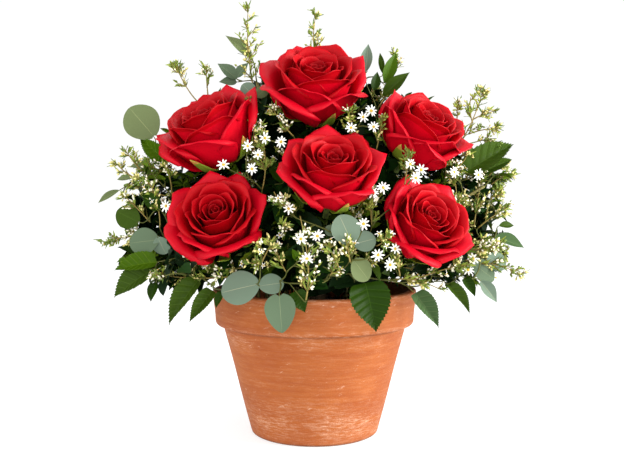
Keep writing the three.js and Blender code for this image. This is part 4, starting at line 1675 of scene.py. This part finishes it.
@dataclass
class Foliage:
    """Everything that grows on from the limbs: leaves, sprays and daisies, placed by one seeded rule."""

    limbs: tuple[Array, Array]
    box: tuple[Array, Array]
    reach: float = 0.196
    rim: tuple = ((0.088, -0.1, 0.152), (0.098, -0.09, 0.15), (0.02, -0.108, 0.146), (-0.03, -0.112, 0.146))
    kept: list[tuple[Array, float]] = field(default_factory=list)
    hub: Array = field(default_factory=lambda: np.array([0.0, 0.0, 0.185]))

    def __post_init__(self) -> None:
        """Makes the collections that the rule fills."""
        self.kept += [(np.array(place), 0.013) for place in self.rim]
        self.rng = np.random.default_rng(77)
        self.growth = Growth(*self.limbs, self.hub, np.random.default_rng(8))
        self.daisies = Daisies()
        self.sprays = BudSprays(np.random.default_rng(31), self.daisies)
        self.inner = Leaves("inner_leaves", "rose_leaf", SHADED, 0.5)
        self.green = Leaves("green_leaves", "rose_leaf", GREENS, 0.42)
        self.grey = Leaves("grey_leaves", "grey_leaf", GREYS, 0.55)

    def free(self, points: Array) -> Array:
        """Which points lie clear of the blooms, of the view of each bloom from outside, and of the pot.

        Args:
            points: The points, (n, 3).

        Returns:
            A flag for each, (n,).
        """
        clear = np.ones(len(points), bool)
        for bloom in BLOOMS:
            foot, axis, size = bloom.foot(), unit(np.array(bloom.faces)), bloom.size * MM
            middle = foot + axis * HEAD_MIDDLE * size
            sight = unit(np.array([0.0, -1.0 if bloom.faces[1] < 0 else 1.0, 0.1]))
            for start, way, reach in ((foot, axis, HEAD_CLEAR * size), (middle, sight, SIGHT_CLEAR * size)):
                offset = points - start
                ahead = offset @ way
                aside = np.linalg.norm(offset - ahead[:, None] * way, axis=1)
                cup = np.clip(ahead / (CUP * size), 0, 1) ** 0.5
                clear &= ~((ahead > 0) & (aside < reach * cup))
        for centre, radius in self.kept:
            offset = points - centre
            before = offset[:, 1] * (-1 if centre[1] > 0.1 else 1) < 0.004
            clear &= ~(before & (np.hypot(offset[:, 0], offset[:, 2]) < radius))
        x, y, z = points.T
        clear &= z > np.interp(np.hypot(x, y), *UNDERSIDE)
        clear &= (np.abs(x) < self.reach) & (np.hypot(x / HALF_WIDTH, y / HALF_DEPTH) < 1)
        low, high = self.box
        return clear & np.all((points > low - SLACK) & (points < high + SLACK), axis=1)

    def spots(self, mass: str, count: int, inner: float, outer: float) -> Array:
        """Seeded places in one packed mass of leaves, or in a part of the crown that spans several.

        Args:
            mass: The mass's name, or that of the part.
            count: How many places are tried.
            inner: The nearest to the middle that they lie, as a share of the mass.
            outer: The furthest.

        Returns:
            The places that are free, (n, 3).
        """
        low, high = (np.array(corner) for corner in CORES.get(mass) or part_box(f"leaves_{mass}"))
        share = self.rng.uniform(inner**3, outer**3, (count, 1)) ** (1 / 3)
        points = (low + high) / 2 + any_way(self.rng, count) * share * (high - low) / 2
        return points[self.free(points)]

    def outward(self, point: Array, stray: float) -> Array:
        """The way from the crown's middle to a point, turned a little at random."""
        return unit(unit(point - self.hub) + stray * any_way(self.rng, 1)[0])

    def facing(self, point: Array) -> Array:
        """Where a leaf at a point turns its upper side: outwards, up and a little at random."""
        return unit(self.outward(point, 0.5) + np.array([0, 0, 0.75]))

    def place_fixed(self) -> None:
        """Places the leaves, sprays and daisies that have places of their own, and keeps them in sight."""
        for item in LARGE:
            base, tip = np.array(item.base) * MM, np.array(item.tip) * MM
            self.kept += [(base * (1 - k) + tip * k, item.width * MM * 0.62) for k in (0.2, 0.5, 0.8)]
            face = np.array([base[0] * 1.5, -1.0, 0.45]) + 0.22 * any_way(self.rng, 1)[0]
            run = unit(tip - base)
            hang = OUTLINES[item.kind].droop * np.linalg.norm(tip - base)
            aim = tip + unit(face - (face @ run) * run) * hang
            home = self.grey if item.grey else self.green
            home.add(item.kind, base, aim, face, item.width * MM, item.tint, fine=True)
            self.growth.reach(base, aim - base)
        for spray in SPRAYS:
            base, tip = np.array(spray.base) * MM, np.array(spray.tip) * MM
            self.sprays.add(base, tip, spray.reach * MM, spray.cream)
            self.growth.reach(base, tip - base)
            clear = spray.reach * MM * 0.75
            self.kept += [(base * (1 - k) + tip * k, clear) for k in (0.15, 0.4, 0.65, 0.9)]
        for spot in DAISIES:
            at = np.array(spot) * MM
            self.kept.append((at, 0.0065))
            face = np.array([at[0] * 2, -1.0, 0.35]) + 0.35 * any_way(self.rng, 1)[0]
            self.daisies.add(at, face, self.rng.uniform(0.0054, 0.0064), int(self.rng.integers(8, 11)))
            self.growth.reach(at - unit(face) * 0.001, face)

    def green_twig(self, at: Array, kind: LeafKind, tint: int, size: float) -> None:
        """Grows a twig with an end leaf and one or two side leaves.

        Args:
            at: Where its end leaf begins.
            kind: The kind of its leaves.
            tint: The tint of its leaves.
            size: The length of its leaves, in metres.
        """
        way = self.outward(at, 0.7) + np.array([0.0, 0.0, -0.25 if at[2] < 0.18 else 0.1])
        face = self.facing(at)
        bare = True
        for k in range(int(self.rng.integers(2, 4))):
            fork = (0, 0.9, -0.9)[k] * unit(np.cross(way, face))
            turned = unit(unit(way) + fork + 0.15 * any_way(self.rng, 1)[0])
            length = size * self.rng.uniform(0.8, 1.1) * (1.0 if k == 0 else 0.85)
            base = at - unit(way) * 0.004 * k
            if not self.free(np.array([base, base + turned * length * 0.5, base + turned * length])).all():
                continue
            width = length * self.rng.uniform(0.44, 0.58)
            self.green.add(kind, base, base + turned * length, face, width, tint)
            bare = False
        if not bare:
            self.growth.reach(at, way)

    def inner_twig(self, at: Array, size: float) -> None:
        """Grows a twig with five plain dark leaves all round it, whose near-black greens are painted shade.

        Args:
            at: Where it ends.
            size: The length of its leaves, in metres.
        """
        way = self.outward(at, 0.8)
        bare = True
        tint = int(self.rng.random() < 0.35)
        for k, turned in enumerate(unit(way * 0.7 + any_way(self.rng, 5))):
            base = at - way * 0.005 * k
            tip = base + turned * size * self.rng.uniform(0.8, 1.2)
            if abs(tip[0]) < INNER_REACH and self.free(np.array([base, (base + tip) / 2, tip])).all():
                self.inner.add(LeafKind.INNER, base, tip, self.facing(at), size * 0.6, tint)
                bare = False
        if not bare:
            self.growth.reach(at, way)

    def grey_twig(self, at: Array) -> None:
        """Grows a twig with pairs of round leaves that get smaller towards its end.

        Args:
            at: Where its first pair of leaves stands.
        """
        rng = self.rng
        # The low round leaves on the seen side have places of their own.
        if at[1] < 0 and at[2] < 0.19:
            return
        way = unit(self.outward(at, 0.5))
        face = self.facing(at)
        side = unit(np.cross(way, face))
        if not self.free(at + way * np.array([[0.0], [0.013], [0.026], [0.036]])).all():
            return
        self.growth.reach(at, way)
        tint = int(rng.integers(0, 3))
        for k in range(5):
            size = (0.019, 0.019, 0.014, 0.014, 0.011)[k] * rng.uniform(0.85, 1.2)
            base = at + way * (0.013 * (k // 2))
            turned = unit(way * (0.35 if k < 4 else 1.2) + side * (1, -1)[k % 2] + 0.2 * any_way(rng, 1)[0])
            if self.free(np.array([base + turned * size]))[0]:
                self.grey.add(LeafKind.ROUND, base, base + turned * size, face, size * 0.95, tint)
        self.growth.reach(at + way * 0.027, way)

    def bud_twig(
        self,
        at: Array,
        length: tuple[float, float],
        reach: float,
        cream: float,
        lowest: float = 0.0,
    ) -> None:
        """Grows a bud spray out and up from a place, unless its tip isn't free.

        Args:
            at: Where it begins.
            length: Its least and its greatest length.
            reach: The greatest length of its side twigs.
            cream: The greatest share of its buds that are cream.
            lowest: The height that its tip stays above.
        """
        way = unit(self.outward(at, 0.5) + np.array([0.0, 0.0, 0.35]))
        tip = at + way * self.rng.uniform(*length)
        if self.free(tip[None])[0] and tip[2] > lowest:
            self.sprays.add(at, tip, self.rng.uniform(0.008, reach), self.rng.uniform(0.2, cream))
            self.growth.reach(at, way)

    def place_grown(self) -> None:
        """Fills each mass: bud sprays, green and grey twigs outside, leaves painted in shade within, daisies
        between.
        """
        rng = self.rng
        for mass, inner, green, budded in AMOUNTS:
            for at in self.spots(mass, inner, 0.3, 0.9):
                self.inner_twig(at, rng.uniform(0.02, 0.028))
            for at in self.spots(mass, green, 0.8, 1.04):
                tint = int(rng.choice([DARK, MID, BRIGHT, FRESH, FRESH]))
                self.green_twig(at, LeafKind.SLIM, tint, rng.uniform(0.011, 0.018))
            for at in self.spots(mass, budded, 0.7, 0.95):
                self.bud_twig(at, (0.02, 0.034), 0.013, 0.8)
        for mass in LEAFY:
            inside = mass in ("heart", "crown")
            for at in self.spots(mass, 120 if inside else 70, 0.1, 0.96 if inside else 0.78):
                self.inner_twig(at, rng.uniform(0.02, 0.03))
            for at in self.spots(mass, 70 if inside else 46, 0.66, 0.9):
                tint = int(rng.choice([DARK, DARK, MID, FRESH]))
                self.green_twig(at, LeafKind.TOOTHED, tint, rng.uniform(0.018, 0.03))
            for at in self.spots(mass, 10 if inside else 9, 0.7, 0.86):
                self.grey_twig(at)
            for at in self.spots(mass, 34, 0.6, 0.9):
                self.bud_twig(at, (0.022, 0.04), 0.014, 0.9, 0.166)
            for at in self.spots(mass, 16 if inside else 12, 0.95, 1.04):
                # The daisies on the seen side have places of their own.
                if at[1] > -0.03:
                    face = self.facing(at)
                    self.daisies.add(at, face, rng.uniform(0.0052, 0.0062), int(rng.integers(8, 11)))
                    self.growth.reach(at - face * 0.001, face)

    def build(self) -> None:
        """Places everything and makes the pieces."""
        self.place_fixed()
        self.place_grown()
        grey = ("left", "right", "back")
        self.inner.build(["leaves_heart"])
        self.green.build([f"leaves_{name}" for name in LEAFY if name not in ("heart", *grey)])
        self.grey.build([f"leaves_{name}" for name in grey])
        self.sprays.build([f"spray_{shoot.name}" for shoot in SHOOTS])
        self.daisies.build(self.rng)
        twig = Living("twig_skin", rgb(84, 88, 36), 0.6, 0.25).material()
        self.growth.patch(0.00075, 0.0004).piece("twigs", [twig], "green_stem")


# ---- The scene ------------------------------------------------------------------------------------------


@dataclass(frozen=True)
class Lamp:
    """A soft square lamp that looks at the bush: its place, its side in metres and its power in watts."""

    name: str
    at: Point
    size: float
    power: float

    def build(self) -> None:
        """Makes the lamp and turns it to the crown's middle."""
        data = bpy.data.lights.new(self.name, "AREA")
        data.shape, data.size, data.energy = "SQUARE", self.size, self.power
        made = bpy.data.objects.new(self.name, data)
        made.location = self.at
        aim = np.array([0.0, 0.0, 0.24]) - np.array(self.at)
        level = math.hypot(aim[0], aim[1])
        made.rotation_euler = Euler((math.atan2(level, -aim[2]), 0, math.atan2(-aim[0], aim[1])))
        bpy.context.scene.collection.objects.link(made)


LAMPS = (
    Lamp("key", (1.5, -0.4, 0.6), 0.8, 41.0),
    Lamp("front", (0.1, -1.7, 0.3), 1.4, 18.0),
    Lamp("fill", (-1.3, -0.7, 0.5), 1.0, 8.0),
    Lamp("top", (0.2, 0.5, 1.7), 0.9, 3.0),
)


@dataclass
class Studio:
    """A pale floor, soft lamps and the camera."""

    lens: float = 50.0
    camera_at: Point = (-0.0026, -0.876, 0.2465)
    pitch: float = 0.0485
    white: float = 1.03

    def floor(self) -> None:
        """Makes the pale floor, which shines a little so that it stays near white."""
        floor = bpy.data.objects.new("floor", bpy.data.meshes.new("floor"))
        size = 12.0
        corners = [(-size, -size, 0), (size, -size, 0), (size, size, 0), (-size, size, 0)]
        floor.data.from_pydata(corners, [], [(0, 1, 2, 3)])
        graph = Graph("floor_paint")
        graph.set(Base_Color=(0.42, 0.42, 0.42, 1), Roughness=0.6 + 0.1 * graph.noise(3.0))
        graph.set(Emission_Color=(1.0, 1.0, 1.0, 1), Emission_Strength=0.68, Specular_IOR_Level=0.1)
        floor.data.materials.append(graph.material)
        bpy.context.scene.collection.objects.link(floor)
        floor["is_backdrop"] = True

    def build(self) -> None:
        """Makes the floor, the light and the camera."""
        self.floor()
        scene = bpy.context.scene
        scene.view_settings.view_transform = "Standard"
        world = bpy.data.worlds.new("studio")
        scene.world = world
        world.use_nodes = True
        sky = world.node_tree.nodes["Background"]
        sky.inputs["Color"].default_value = (1, 1, 1, 1)
        sky.inputs["Strength"].default_value = self.white
        for lamp in LAMPS:
            lamp.build()
        lens = bpy.data.cameras.new("camera")
        lens.lens, lens.sensor_width = self.lens, 36.0
        camera = bpy.data.objects.new("camera", lens)
        camera.location = self.camera_at
        camera.rotation_euler = Euler((math.pi / 2 - self.pitch, 0, 0))
        scene.collection.objects.link(camera)
        scene.camera = camera


def main() -> None:
    """Builds every part of the bush in order."""
    logging.basicConfig(level=logging.INFO, format="%(message)s")
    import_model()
    packed = [list(corner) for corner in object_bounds()]
    Pot().build()
    Soil().build()
    stem = Stem()
    stem.build()
    limbs = Limbs(stem.centre).build()
    petals = [skin.material() for skin in PETAL_SKINS.values()]
    sepals = [skin.material() for skin in SEPAL_SKINS]
    for bloom in BLOOMS:
        bloom.build(petals, sepals)
    Foliage(limbs, (np.array(packed[0]), np.array(packed[1]))).build()
    Studio().build()


if __name__ == "__main__":
    main()
